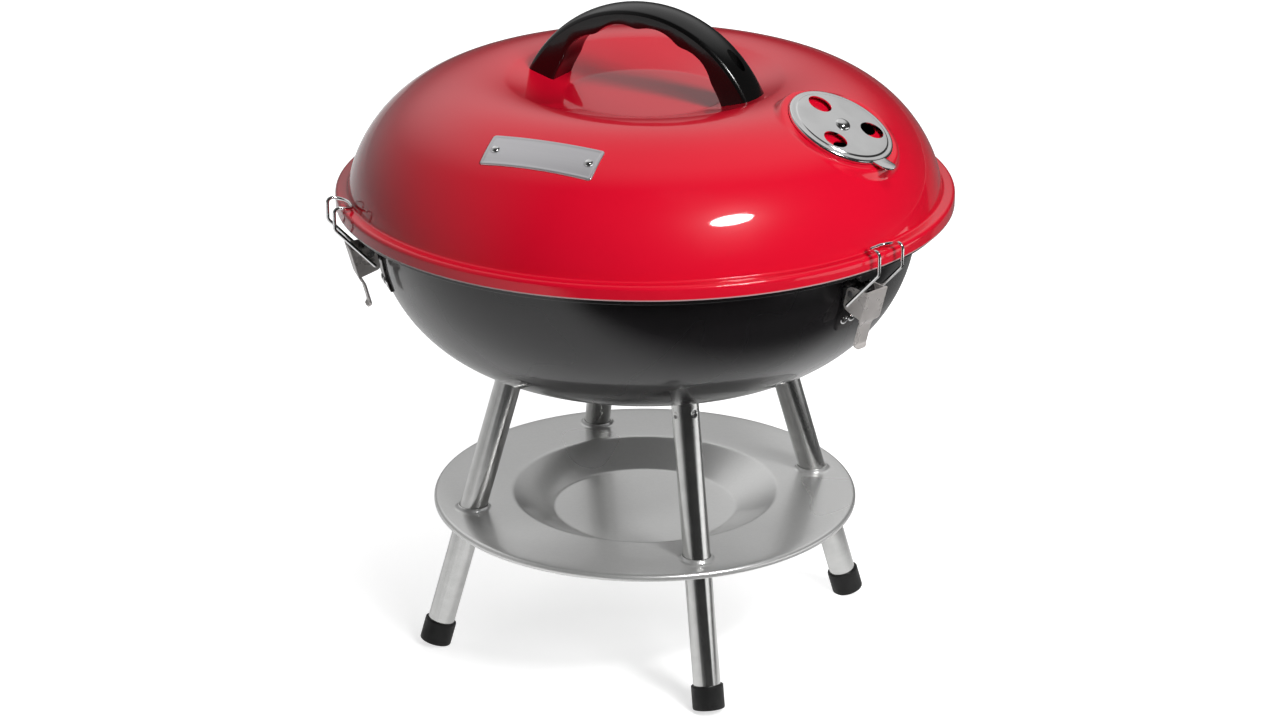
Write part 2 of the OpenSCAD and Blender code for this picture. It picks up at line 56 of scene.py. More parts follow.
MM = 0.001
LATCHES = (1, 2, 3)
LEGS = (1, 2, 3, 4)
BOWL_FLAT = 1.6 * MM  # rise of the bowl's flat bottom over its curve
SHARP = 35  # edges that turn by more degrees than this stay sharp
SAME_POINT = 1e-7  # points closer than this are one, in metres
BAIL_ENDS = (-2.4 * MM, -7.5 * MM)  # outwards and upwards from the pivot of a closed lever


def length(name, description, mm):
    """A length property whose default is given in millimetres."""
    return FloatProperty(name=name, description=description, default=mm * MM, precision=5, unit="LENGTH")


def angle(name, description, degrees):
    """An angle property whose default is given in degrees."""
    return FloatProperty(name=name, description=description, default=math.radians(degrees), subtype="ANGLE")


def colour(name, description, rgb):
    """A linear colour property."""
    return FloatVectorProperty(name=name, description=description, default=rgb, size=3, min=0, max=1,
                               subtype="COLOR")


def number(name, description, default, **kind):
    """A number property with the unit or subtype that fits it."""
    return FloatProperty(name=name, description=description, default=default, **kind)


def point(name, description, metres):
    """A place in the scene."""
    return FloatVectorProperty(name=name, description=description, default=metres, size=3, unit="LENGTH")


class GrillSizes(PropertyGroup):
    """Sizes of the grill that its finished surfaces follow."""

    rim_r: length("Rim radius", "Outer radius of the lid's skirt", 178)
    ledge_z: length("Ledge height", "Height of the closed lid's ledge above the table", 277.5)
    skirt_h: length("Skirt height", "Height of the lid's skirt", 8.3)
    sheet: length("Sheet", "Thickness of the enamelled sheet", 1)
    edge_r: length("Edge radius", "Radius of the rolled edges", 2.4)
    dome_inset: length("Dome inset", "How far inside the skirt the dome meets the ledge", 7)
    shoulder_r: length("Shoulder radius", "Radius of the dome's shoulder", 79)
    lid_rise: length("Lid rise", "Height of the dome above the ledge", 63.8)
    recess_r: length("Dish radius", "Radius of the sunk handle dish at its edge", 80)
    recess_w: length("Dish wall", "Width of the dish's sloping wall", 34)
    recess_d: length("Dish depth", "Depth of the dish", 10)
    handle_h: length("Handle height", "Height of the handle's top above the dish", 52.4)
    handle_top_r: length("Handle top", "Radius of the handle's top", 81)
    handle_low_r: length("Handle underside", "Radius of the handle's underside", 58.5)
    handle_t: length("Handle thickness", "Thickness of the handle at its middle", 13)
    handle_w: length("Handle width", "Width of the handle", 23.5)
    handle_pitch: length("Screw pitch", "Distance between the handle's screws", 129)
    finger_r: length("Finger radius", "Radius of a finger hollow", 22)
    finger_d: length("Finger depth", "Depth of a finger hollow", 3.2)
    finger_step: angle("Finger step", "Angle from one finger hollow to the next", 27)
    vent_turn: angle("Vent angle", "Angle of the lid's vent from the handle's direction", -4)
    vent_at: length("Vent distance", "Distance of the lid's vent from the axis", 129)
    seat_sink: length("Seat depth", "Depth of the vent's seat below the dome", 3)
    disc_r: length("Disc radius", "Radius of a vent disc", 31.2)
    seat_margin: length("Seat margin", "How far the vent's seat reaches past its disc", 5.3)
    hole_r: length("Hole radius", "Radius of a vent hole", 7)
    hole_at: length("Hole circle", "Radius of the vents' hole circle", 18.6)
    disc_turn: angle("Disc angle", "Angle of the disc's holes", 50)
    vent_shut: angle("Vent shut", "How far the disc is turned off the lid's holes", 22)
    badge_w: length("Badge width", "Width of the bare badge plate", 67)
    badge_h: length("Badge height", "Height of the bare badge plate", 21.5)
    badge_at: length("Badge distance", "Distance of the badge from the axis", 131.5)
    badge_turn: angle("Badge angle", "Angle of the badge from the handle's direction", -86.5)
    neck_in: length("Neck inset", "How far the bowl's wall lies inside the lid's skirt", 21.3)
    lip_gap: length("Lip gap", "Radial gap between the lid's skirt and the bowl's lip", 2)
    lip_h: length("Lip height", "Height of the bowl's turned-down lip", 10.3)
    bowl_bend_r: length("Bowl bend", "Radius of the bowl's lower bend", 85)
    bowl_crown_r: length("Bowl crown", "Radius of the bowl's bottom", 393)
    bowl_depth: length("Bowl depth", "Depth of the bowl below its flange", 112)
    grate_drop: length("Grate drop", "Distance of the cooking grate below the flange", 14)
    rod_pitch: length("Rod pitch", "Spacing of the cooking grate's rods", 15)
    latch_turn: angle("Latch angle", "Angle of the first latch", 225)
    wire_r: length("Bail wire", "Radius of the bail's wire", 1)
    bail_out: length("Bail stand-off", "How far the bail stands out from the skirt", 6)
    bail_hook: length("Bail hook", "How far the bail hooks over the ledge", 5.3)
    bail_bend: length("Bail loop", "Bend of the bail's loop at its corners", 7)
    pivot_out: length("Pivot distance", "Distance of the lever's pivot from the bowl's wall", 7)
    pivot_drop: length("Pivot drop", "Distance of the lever's pivot below the ledge", 25.5)
    leg_r: length("Leg radius", "Outer radius of a leg", 7.9)
    leg_wall: length("Leg wall", "Wall of a leg's tube", 1.2)
    leg_lean: angle("Leg lean", "Lean of the legs", 16.4)
    foot_at: length("Foot distance", "Distance of a foot's centre from the axis", 130)
    foot_wall: length("Foot wall", "Wall of a foot cap", 1.4)
    foot_h: length("Foot height", "Height of a foot cap", 14)
    catcher_r: length("Catcher radius", "Radius of the ash catcher", 125.5)
    catcher_z: length("Catcher height", "Height of the ash catcher above the table", 85)
    catcher_edge: length("Catcher edge", "Depth of the ash catcher's turned-down edge", 3.6)
    dish_d: length("Ash dish depth", "Depth of the ash catcher's dish", 12)
    dish_r: length("Ash dish radius", "Radius of the ash catcher's dish", 79)
    segments: IntProperty(name="Segments", description="Segments of a large round piece", default=192, min=24)


class GrillColours(PropertyGroup):
    """Colours of the grill's finishes."""

    lid_red: colour("Lid red", "Enamel of the lid", (0.66, 0.003, 0.022))
    bowl_black: colour("Bowl black", "Enamel of the bowl", (0.011, 0.010, 0.011))
    handle_black: colour("Handle black", "Moulded plastic of the handle", (0.003, 0.003, 0.003))
    plated: colour("Plated steel", "Vents, latches and wire", (0.86, 0.86, 0.86))
    zinc: colour("Zinc plate", "Latch levers", (0.72, 0.68, 0.66))
    tube: colour("Tube steel", "Polished tube of the legs", (0.67, 0.67, 0.66))
    badge: colour("Badge metal", "Brushed metal of the bare badge", (0.61, 0.60, 0.62))
    catcher: colour("Catcher silver", "Satin silver paint of the ash catcher", (0.83, 0.83, 0.82))
    rubber: colour("Foot rubber", "Rubber of the foot caps", (0.008, 0.008, 0.008))
    # Painted dark reflection: this plating is far darker than the other plating, standing in for the dark
    # reflections on the latch bases.
    base: colour("Latch base", "Dull plating of the latch bases", (0.24, 0.23, 0.23))
    steel: colour("Fixing steel", "Plain steel of hidden fixings", (0.55, 0.55, 0.55))
    grate: colour("Grate steel", "Plain steel of the charcoal grate", (0.42, 0.41, 0.40))


class GrillStage(PropertyGroup):
    """Camera and light of the studio."""

    camera: point("Camera", "Place of the camera", (0.8990, -1.6455, 0.9033))
    target: point("Target", "Point that the camera looks at", (-0.00257, -0.00141, 0.16636))
    lens: number("Lens", "Focal length for a 36 mm wide sensor, in millimetres", 96.42, unit="CAMERA")
    key_power: number("Key power", "Power of the key lamp, in watts", 27, unit="POWER")
    top_power: number("Top power", "Power of the overhead lamp, in watts", 10, unit="POWER")
    fill_power: number("Fill power", "Power of the front lamp, in watts", 27, unit="POWER")
    side_power: number("Side power", "Power of the low lamp at the right, in watts", 0.85, unit="POWER")
    back_power: number("Back power", "Power of the lamp behind, in watts", 11, unit="POWER")
    room: number("Room light", "Share of the studio's light on dull surfaces", 0.12, subtype="FACTOR")
    floor_lift: number("Floor lift", "Light added to the floor for the camera", 0.66, subtype="FACTOR")
    floor_shine: number("Floor shine", "Light added to the floor in bright surfaces", 0.42, subtype="FACTOR")


def sizes():
    """The grill's sizes."""
    return bpy.context.scene.grill_sizes


def turn(radians, axis):
    """A rotation matrix about a named axis."""
    return Matrix.Rotation(radians, 4, axis)


def shift(x=0, y=0, z=0):
    """A translation matrix."""
    return Matrix.Translation((x, y, z))


def facing_pair(place, gap):
    """A place and the one that faces away from it, a gap below."""
    return [place, place @ shift(z=-gap) @ turn(math.pi, "X")]


# ---- places on the grill


def shoulder():
    """Centre of the dome's shoulder in its half-section, as radius and height."""
    s = sizes()
    half = math.sqrt(s.shoulder_r**2 - (s.shoulder_r - s.lid_rise) ** 2)
    return s.rim_r - s.dome_inset - half, s.ledge_z + s.lid_rise - s.shoulder_r


def recess_z():
    """Height of the handle dish's floor."""
    s = sizes()
    x, z = shoulder()
    return z + math.sqrt(s.shoulder_r**2 - (x - s.recess_r) ** 2) - s.recess_d


def on_shoulder(azimuth, at, lift=0):
    """A place above the dome's shoulder by lift, at a distance from the axis, with +Z out of the lid."""
    x, z = shoulder()
    r = sizes().shoulder_r
    return turn(azimuth, "Z") @ shift(x, 0, z) @ turn(math.asin((at - x) / r), "Y") @ shift(z=r + lift)


def vent_frame():
    """Seat of the lid's vent, with +Z out of the lid."""
    s = sizes()
    return on_shoulder(s.vent_turn, s.vent_at, -s.seat_sink)


def bowl_z():
    """Height of the lowest point that the bowl's curve would have."""
    s = sizes()
    return s.ledge_z - s.sheet - s.bowl_depth


def bend_centre():
    """Centre of the bowl's lower bend in its half-section, as radius and height."""
    s = sizes()
    x = s.rim_r - s.neck_in - s.bowl_bend_r
    return x, bowl_z() + s.bowl_crown_r - math.sqrt((s.bowl_crown_r - s.bowl_bend_r) ** 2 - x**2)


def bowl_vent_frame():
    """Seat of the bowl's vent, with +Z out of the bowl."""
    return shift(z=bowl_z() + BOWL_FLAT) @ turn(math.pi, "X")


def badge_frame():
    """Middle of the badge on the dome, with +Z out of the lid and +X to the badge's right."""
    s = sizes()
    return on_shoulder(s.badge_turn, s.badge_at) @ turn(math.pi / 2, "Z")


def screw_frames():
    """Places of the handle's screws, with +Z square to the dish's wall."""
    s = sizes()
    at = s.handle_pitch / 2
    rise = (at - s.recess_r + s.recess_w) * s.recess_d / s.recess_w
    lean = math.atan2(s.recess_d, s.recess_w)
    return [turn(a, "Z") @ shift(at, 0, recess_z() + rise) @ turn(-lean, "Y") for a in (0, math.pi)]


def leg_frame(i):
    """Foot of leg i, with +Z up along the leg."""
    s = sizes()
    ground_off = 1 * MM
    foot_z = (s.leg_r + s.foot_wall) * math.sin(s.leg_lean) - ground_off
    return turn(math.radians(45 + 90 * (i - 1)), "Z") @ shift(s.foot_at, 0, foot_z) @ turn(-s.leg_lean, "Y")


def latch_frame(i):
    """Turn of latch i about the grill's axis."""
    return turn(sizes().latch_turn + math.radians(120 * (i - 1)), "Z")


def pivot():
    """Radius and height of a latch lever's pivot."""
    s = sizes()
    return np.array([s.rim_r - s.neck_in + s.pivot_out, s.ledge_z - s.pivot_drop])


def bail_link():
    """Radius and height of the bail's ends in a closed lever."""
    return pivot() + np.array(BAIL_ENDS)


# ---- outlines


def arc(cx, cz, r, start, end, steps):
    """Points on a circle from start to end, in degrees."""
    a = np.radians(np.linspace(start, end, steps + 1))
    return np.stack([cx + r * np.cos(a), cz + r * np.sin(a)], 1)


def line(a, b, steps=1):
    """Points on a straight line."""
    t = np.linspace(0, 1, steps + 1)[:, None]
    return np.asarray(a, float) * (1 - t) + np.asarray(b, float) * t


def circle(r, angles):
    """Points about the origin at angles in radians; each may have its own radius."""
    return np.stack([r * np.cos(angles), r * np.sin(angles)], 1)


def walked(start, *legs):
    """Runs of points from a start: each leg is a ready run, or where a straight run ends and its steps."""
    runs, at = [], start
    for leg in legs:
        run = leg if np.ndim(leg) == 2 else line(at, leg[:2], leg[2] if len(leg) > 2 else 1)
        runs.append(run)
        at = run[-1]
    return runs


def trimmed(run, start, end):
    """A run of points with a length cut off at each end."""
    run = np.asarray(run, float)
    along = np.concatenate([[0], np.cumsum(np.linalg.norm(np.diff(run, axis=0), axis=1))])
    low, high, clear = start, along[-1] - end, 1e-9
    inside = run[(along > low + clear) & (along < high - clear)]
    ends = [np.array([np.interp(v, along, run[:, k]) for k in range(run.shape[1])]) for v in (low, high)]
    return np.vstack([ends[0], inside, ends[1]])


def joined(runs, softs):
    """Runs of points as one line, with the corner after run n eased over softs[n] on both sides."""
    cuts, steps = [0, *softs, 0], 6
    cut = [trimmed(run, start, end) for run, start, end in zip(runs, cuts, cuts[1:])]
    out = list(cut[0])
    for before, run, soft in zip(runs, cut[1:], softs):
        a, b, c = out[-1], before[-1], run[0]
        for t in np.linspace(0, 1, steps + 1)[1:-1] if soft > 0 else []:
            out.append((1 - t) ** 2 * a + 2 * t * (1 - t) * b + t**2 * c)
        out.extend(run)
    keep = [out[0]]
    for p in out[1:]:
        if np.linalg.norm(p - keep[-1]) > SAME_POINT:
            keep.append(p)
    return np.array(keep)


def hull(points):
    """Convex outline of points in a plane."""
    points = sorted(map(tuple, points))

    def half(some):
        out = []
        for p in some:
            while len(out) > 1 and ((out[-1][0] - out[-2][0]) * (p[1] - out[-2][1])
                                    - (out[-1][1] - out[-2][1]) * (p[0] - out[-2][0])) <= 0:
                out.pop()
            out.append(p)
        return out[:-1]

    return np.array(half(points) + half(points[::-1]))


def last_before(low, high, past, count):
    """The last heights between low and high for which past is still false, found by halving."""
    low, high, halvings = np.full(count, low), np.full(count, high), 40
    for _ in range(halvings):
        mid = (low + high) / 2
        gone = past(mid)
        low, high = np.where(gone, low, mid), np.where(gone, mid, high)
    return low


# ---- meshes


def skin(points, wrap_rows=False):
    """Vertices and faces over a grid of points of shape rows, columns, 3, whose rows are rings."""
    rows, cols = points.shape[:2]
    index = np.arange(rows * cols).reshape(rows, cols)
    if wrap_rows:
        index = np.vstack([index, index[:1]])
    index = np.hstack([index, index[:, :1]])
    quads = np.stack([index[:-1, :-1], index[:-1, 1:], index[1:, 1:], index[1:, :-1]], -1).reshape(-1, 4)
    return points.reshape(-1, 3), quads.tolist()


def closed_tube(points):
    """Vertices and faces over rings of points, with both ends closed."""
    rows, cols = points.shape[:2]
    verts, faces = skin(points)
    return verts, faces + [list(range(cols))[::-1], list(range((rows - 1) * cols, rows * cols))]


def turned(profile, angles):
    """A grid of points: a half-section of radius and height, turned through angles about Z."""
    r, z = profile[:, :1], profile[:, 1:]
    return np.stack([r * np.cos(angles), r * np.sin(angles), z + 0 * angles], -1)


def even_angles(count):
    """Angles of a full turn, in radians."""
    return np.linspace(0, 2 * math.pi, count, endpoint=False)


def moved(points, place):
    """Points after a matrix."""
    m = np.array(place)
    return points @ m[:3, :3].T + m[:3, 3]


def solid(name, *shells, sharp=SHARP):
    """A clean mesh from one or more shells of vertices and faces."""
    verts, faces = [], []
    for v, f in shells:
        base = len(verts)
        verts.extend(np.asarray(v).tolist())
        faces.extend([[base + k for k in face] for face in f])
    mesh = bpy.data.meshes.new(name)
    mesh.from_pydata(verts, [], faces)
    return cleaned(mesh, sharp, 10 * SAME_POINT)


def cleaned(mesh, sharp=SHARP, merge=SAME_POINT):
    """Merges doubles, points faces outwards and smooths all but sharp edges."""
    bm = bmesh.new()
    bm.from_mesh(mesh)
    bmesh.ops.remove_doubles(bm, verts=bm.verts, dist=merge)
    bmesh.ops.dissolve_degenerate(bm, edges=bm.edges, dist=merge / 10)
    bmesh.ops.recalc_face_normals(bm, faces=bm.faces)
    for face in bm.faces:
        face.smooth = True
    bm.to_mesh(mesh)
    bm.free()
    mesh.set_sharp_from_angle(angle=math.radians(sharp))
    return mesh


def added(name, data):
    """A new object in the scene."""
    obj = bpy.data.objects.new(name, data)
    bpy.context.scene.collection.objects.link(obj)
    return obj


def evaluated(obj):
    """The object's mesh with its modifiers applied."""
    bpy.context.view_layer.update()
    graph = bpy.context.evaluated_depsgraph_get()
    return bpy.data.meshes.new_from_object(obj.evaluated_get(graph), depsgraph=graph)


def modified(mesh, kind, sharp, **settings):
    """The mesh after one modifier."""
    obj = added("work", mesh)
    step = obj.modifiers.new("work", kind)
    for key, value in settings.items():
        setattr(step, key, value)
    result = evaluated(obj)
    bpy.data.objects.remove(obj)
    return cleaned(result, sharp)


def combined(mesh, tool, operation="DIFFERENCE", sharp=SHARP):
    """The mesh cut by, or joined to, another closed mesh."""
    other = added("tool", tool)
    result = modified(mesh, "BOOLEAN", sharp, operation=operation, solver="EXACT", object=other)
    bpy.data.objects.remove(other)
    return result


def bevelled(mesh, width):
    """The mesh with its sharp edges rounded."""
    return modified(mesh, "BEVEL", SHARP, width=width, segments=2, limit_method="ANGLE",
                    angle_limit=math.radians(40))


def prism(outline, low, high):
    """Rings of an outline at two heights."""
    return np.stack([np.column_stack([outline, np.full(len(outline), z)]) for z in (low, high)])


def rods(places, r, low, high, sides=48):
    """Closed cylinders along +Z of each place, as shells."""
    grid = prism(circle(r, even_angles(sides)), low, high)
    return [closed_tube(moved(grid, place)) for place in places]


def hole_places(place, first):
    """The three holes of a vent, as places along the vent's axis."""
    return [place @ turn(first + math.radians(120 * k), "Z") @ shift(sizes().hole_at) for k in range(3)]


def drilled(mesh, place, first, low, high):
    """The mesh with the three holes of a vent, cut from low to high along the vent's axis."""
    return combined(mesh, solid("holes", *rods(hole_places(place, first), sizes().hole_r, low, high)))


def finish_piece(name, mesh, body, slot, key, *nodes):
    """Adds a mesh as a piece with a finish, that rides on a body and stands for CAD nodes."""
    obj = added(name, mesh)
    mesh.name = name
    mesh.materials.clear()
    mesh.materials.append(finish(key))
    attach(obj, body)
    if nodes:
        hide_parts(*nodes)


# ---- materials


def wired(tree, kind, inputs=(), out=0, **props):
    """An output of a new node; each input is a value, another node's output or a list of outputs."""
    made = tree.nodes.new(kind)
    for key, value in props.items():
        setattr(made, key, value)
    for key, value in dict(inputs).items():
        for one in value if isinstance(value, list) else [value]:
            if isinstance(one, bpy.types.NodeSocket):
                tree.links.new(one, made.inputs[key])
            else:
                made.inputs[key].default_value = one
    return made.outputs[out] if made.outputs else None


class Recipe:
    """A material's node tree, written down step by step."""

    def __init__(self, name, base, roughness, **sockets):
        self.material = bpy.data.materials.new(name)
        self.material.use_nodes = True
        self.material.diffuse_color = (*base, 1)
        self.tree, self.base = self.material.node_tree, tuple(base)
        self.shader = self.tree.nodes["Principled BSDF"].inputs
        for socket, value in {"Base_Color": (*base, 1), "Roughness": roughness, **sockets}.items():
            self.shader[socket.replace("_", " ")].default_value = value
        self.place = self.node("ShaderNodeTexCoord", out="Object")

    def node(self, kind, inputs=(), **props):
        """An output of a new node in this material."""
        return wired(self.tree, kind, inputs, **props)

    def feed(self, socket, source):
        """Leads an output to the shader."""
        self.tree.links.new(source, self.shader[socket])

    def noise(self, scale, detail, stretch=None, source=None):
        """Noise on the piece's own coordinates, stretched where asked."""
        where = source or self.place
        if stretch:
            where = self.node("ShaderNodeMapping", {"Vector": where, "Scale": stretch})
        return self.node("ShaderNodeTexNoise", {"Vector": where, "Scale": scale, "Detail": detail}, out="Fac")

    def ranged(self, fac, low, high, start=0.3, end=0.7):
        """A factor mapped to a range."""
        return self.node("ShaderNodeMapRange", {"Value": fac, "From Min": start, "From Max": end,
                                                "To Min": low, "To Max": high}, out="Result")

    def mixed(self, fac, first, second):
        """A colour between two others, which leads to the shader."""
        made = self.node("ShaderNodeMix", {"Factor": fac, 6: first, 7: second}, out=2, data_type="RGBA")
        self.feed("Base Color", made)
        return made

    def shade(self, fac, *shares):
        """Varies the base colour between two shares of itself."""
        return self.mixed(fac, *[(*[min(1, c * share) for c in self.base], 1) for share in shares])

    def rough(self, fac, low, high):
        """Varies the roughness."""
        self.feed("Roughness", self.ranged(fac, low, high))

    def bump(self, fac, strength, depth):
        """Raises the surface by a factor, over a depth in metres."""
        raised = self.node("ShaderNodeBump", {"Height": fac, "Strength": strength, "Distance": depth})
        self.feed("Normal", raised)


def grained(name, base, roughness, shade, rough, bump, **sockets):
    """A finish in which colour, roughness and surface each follow a noise of their own.

    Each of the three is the noise's scale and detail, then the two shares of the base colour, the two
    ends of the roughness, or the bump's strength and depth.
    """
    r = Recipe(name, base, roughness, **sockets)
    r.shade(r.ranged(r.noise(*shade[:2]), 0, 1), *shade[2:])
    r.rough(r.noise(*rough[:2]), *rough[2:])
    r.bump(r.noise(*bump[:2]), *bump[2:])
    return r.material


def enamel(name, base, roughness, coat, body, edge=-1):
    """Fired enamel: even colour under a hard clear surface, with a pale grey line mixed in just above an
    edge's height.
    """
    r = Recipe(name, base, roughness, Coat_Weight=coat, Coat_Roughness=0.05, Coat_IOR=1.45, IOR=body)
    even = r.shade(r.ranged(r.noise(9, 3), 0, 1), 0.96, 1.03)
    r.rough(r.noise(14, 1), roughness - 0.03, roughness + 0.03)
    height = r.node("ShaderNodeSeparateXYZ", {"Vector": r.place}, out="Z")
    # A pale grey line is mixed into the colour over the lowest millimetre above the edge's height.
    edge_line_mask, pale_edge_grey = r.ranged(height, 0.8, 0, edge + 0.6 * MM, edge + 1.0 * MM), (0.42, 0.40, 0.40, 1)
    r.mixed(edge_line_mask, even, pale_edge_grey)
    return r.material


def plated_steel(name, base, roughness):
    """Bright plating with faint rolling marks and handling haze."""
    return grained(name, base, roughness, (40, 3, 0.93, 1.02), (120, 3, roughness - 0.05, roughness + 0.08),
                   (500, 1, 0.02, 0.0002), Metallic=1.0)


def zinc_plate(name, base):
    """Satin zinc plating with a cloudy haze."""
    return grained(name, base, 0.3, (55, 3, 0.88, 1.04), (120, 2, 0.24, 0.36), (400, 1, 0.02, 0.0002),
                   Metallic=0.45)


def tube_steel(name, base):
    """Polished tube: fine lines along its length on the piece's own UV map."""
    r = Recipe(name, base, 0.2, Metallic=1.0)
    uv = r.node("ShaderNodeTexCoord", out="UV")
    lines = r.noise(1, 3, (120, 2, 1), uv)
    r.shade(r.ranged(r.noise(1, 2, (5, 30, 1), uv), 0, 1), 0.92, 1.02)
    r.rough(lines, 0.15, 0.26)
    r.bump(lines, 0.03, 0.0003)
    return r.material


def silver_paint(name, base):
    """Satin silver paint: fine metal flake under a clear layer."""
    r = Recipe(name, base, 0.3, Metallic=0.7, Coat_Weight=0.4, Coat_Roughness=0.06)
    flake = r.node("ShaderNodeTexVoronoi", {"Vector": r.place, "Scale": 700.0}, out="Color")
    r.shade(r.node("ShaderNodeSeparateColor", {"Color": flake}), 0.985, 1.015)
    r.rough(r.noise(12, 1), 0.27, 0.33)
    return r.material


def brushed_metal(name, base, stretch):
    """Brushed sheet metal with lines along one direction."""
    r = Recipe(name, base, 0.32, Metallic=0.85)
    lines = r.noise(1, 3, stretch)
    r.shade(r.ranged(lines, 0, 1), 0.97, 1.02)
    r.rough(lines, 0.30, 0.36)
    return r.material


def moulded_plastic(name, base):
    """Glossy black moulding with a faint grain."""
    return grained(name, base, 0.2, (20, 3, 0.85, 1.15), (60, 2, 0.16, 0.24), (300, 1, 0.01, 0.0003),
                   IOR=1.42, Coat_Weight=0.3, Coat_Roughness=0.05)


def foot_rubber(name, base):
    """Matt rubber with a dusty grain."""
    return grained(name, base, 0.5, (60, 4, 0.8, 1.5), (150, 3, 0.42, 0.6), (700, 2, 0.12, 0.0003), IOR=1.4)


def bare_steel(name, base, roughness):
    """Plain steel of hidden fixings, a little dull."""
    return grained(name, base, roughness, (90, 4, 0.8, 1.04), (240, 3, roughness - 0.08, roughness + 0.12),
                   (800, 1, 0.04, 0.0002), Metallic=1.0)


def make_materials():
    """Every finish of the grill, by name."""
    c = bpy.context.scene.grill_colours
    return {
        # The lid's enamel gets a pale grey line along the lower edge of its skirt.
        "lid": enamel("lid_enamel", c.lid_red, 0.34, 0.9, 1.22, sizes().ledge_z - sizes().skirt_h),
        "bowl": enamel("bowl_enamel", c.bowl_black, 0.28, 0.8, 1.4),
        "handle": moulded_plastic("handle_plastic", c.handle_black),
        "plated": plated_steel("plated_steel", c.plated, 0.14),
        "zinc": zinc_plate("zinc_plate", c.zinc),
        # Painted dark reflection: the latch bases use the plated finish with a much darker colour, in place
        # of the dark reflections they show.
        "base": plated_steel("darkened_base_plating", c.base, 0.22),
        "wire": plated_steel("plated_wire", c.plated, 0.18),
        "tube": tube_steel("tube_steel", c.tube),
        "badge": brushed_metal("badge_metal", c.badge, (6, 700, 700)),
        "catcher": silver_paint("catcher_paint", c.catcher),
        "rubber": foot_rubber("foot_rubber", c.rubber),
        "steel": bare_steel("fixing_steel", c.steel, 0.3),
        "grate": bare_steel("grate_steel", c.grate, 0.36),
    }


FINISHES = {}


def finish(key):
    """A finish of the grill; all of them are made at first use."""
    if not FINISHES:
        FINISHES.update(make_materials())
    return FINISHES[key]


# ---- geometry nodes


class Tree:
    """A geometry node tree with named inputs, ending in Realize Instances and Set Material."""

    def __init__(self, name, **inputs):
        self.tree = bpy.data.node_groups.new(name, "GeometryNodeTree")
        self.tree.is_modifier = True
        face = self.tree.interface
        face.new_socket("Geometry", in_out="INPUT", socket_type="NodeSocketGeometry")
        for label, value in inputs.items():
            kind = "NodeSocketInt" if isinstance(value, int) else "NodeSocketFloat"
            face.new_socket(label.replace("_", " "), in_out="INPUT", socket_type=kind).default_value = value
        face.new_socket("Material", in_out="INPUT", socket_type="NodeSocketMaterial")
        face.new_socket("Geometry", in_out="OUTPUT", socket_type="NodeSocketGeometry")
        self.given = self.tree.nodes.new("NodeGroupInput").outputs

    def node(self, kind, inputs=(), **props):
        """An output of a new node in this tree, by default its first."""
        return wired(self.tree, kind, inputs, **props)

    def math(self, operation, a, b=0.0):
        """A sum, product or root of numbers."""
        return self.node("ShaderNodeMath", {0: a, 1: b}, operation=operation)

    def vector(self, x=0.0, y=0.0, z=0.0):
        """Three numbers as a vector."""
        return self.node("ShaderNodeCombineXYZ", {0: x, 1: y, 2: z})

    def end(self, geometry):
        """Realizes, smooths and paints the result."""
        real = self.node("GeometryNodeRealizeInstances", {"Geometry": geometry})
        smooth = self.node("GeometryNodeSetShadeSmooth", {"Geometry": real})
        finish_in = self.given["Material"]
        painted = self.node("GeometryNodeSetMaterial", {"Geometry": smooth, "Material": finish_in})
        self.node("NodeGroupOutput", {0: painted})
        return self.tree


def grown(seed, tree, key, **values):
    """The plain mesh that a tree makes from a seed mesh, with a finish and values for its named inputs."""
    obj = added("work", seed)
    step = obj.modifiers.new(tree.name, "NODES")
    step.node_group = tree
    values = {"Material": finish(key), **{label.replace("_", " "): value for label, value in values.items()}}
    for item in tree.interface.items_tree:
        if item.in_out == "INPUT" and item.name in values:
            step[item.identifier] = values[item.name]
    mesh = evaluated(obj)
    bpy.data.objects.remove(obj)
    return cleaned(mesh)


def placed_points(places):
    """A mesh of points with each place's +Z as an attribute."""
    mesh = bpy.data.meshes.new("places")
    mesh.from_pydata([p.translation for p in places], [], [])
    axis = mesh.attributes.new("axis", "FLOAT_VECTOR", "POINT")
    for n, p in enumerate(places):
        axis.data[n].vector = p.to_3x3() @ Vector((0, 0, 1))
    return mesh


def on_places(t, shape):
    """A shape on every point, stood along the point's axis."""
    axis = t.node("GeometryNodeInputNamedAttribute", {"Name": "axis"}, data_type="FLOAT_VECTOR")
    stood = t.node("FunctionNodeAlignRotationToVector", {"Vector": axis}, axis="Z")
    return t.node("GeometryNodeInstanceOnPoints",
                  {"Points": t.given["Geometry"], "Instance": shape, "Rotation": stood})


def domed_heads_tree():
    """Domed rivet heads on points."""
    t = Tree("Domed heads", Head_Radius=0.003, Head_Height=0.0015)
    ball = t.node("GeometryNodeMeshUVSphere", {"Segments": 32, "Rings": 16, "Radius": 1.0})
    size = t.vector(t.given["Head Radius"], t.given["Head Radius"], t.given["Head Height"])
    return t.end(on_places(t, t.node("GeometryNodeTransform", {"Geometry": ball, "Scale": size})))


def hex_nuts_tree():
    """Six-sided nuts on points."""
    t = Tree("Hex nuts", Nut_Radius=0.004, Nut_Height=0.003)
    nut = t.node("GeometryNodeMeshCylinder",
                 {"Vertices": 6, "Radius": t.given["Nut Radius"], "Depth": t.given["Nut Height"]})
    return t.end(on_places(t, nut))


def washers_tree():
    """Flat washers on points."""
    t = Tree("Washers", Ring_Radius=0.004, Ring_Width=0.003, Thickness=0.001)
    ring = t.node("GeometryNodeCurvePrimitiveCircle", {"Resolution": 48, "Radius": t.given["Ring Radius"]})
    section = t.node("GeometryNodeCurvePrimitiveQuadrilateral",
                     {"Width": t.given["Ring Width"], "Height": t.given["Thickness"]})
    flat = t.node("GeometryNodeCurveToMesh", {"Curve": ring, "Profile Curve": section})
    return t.end(on_places(t, flat))


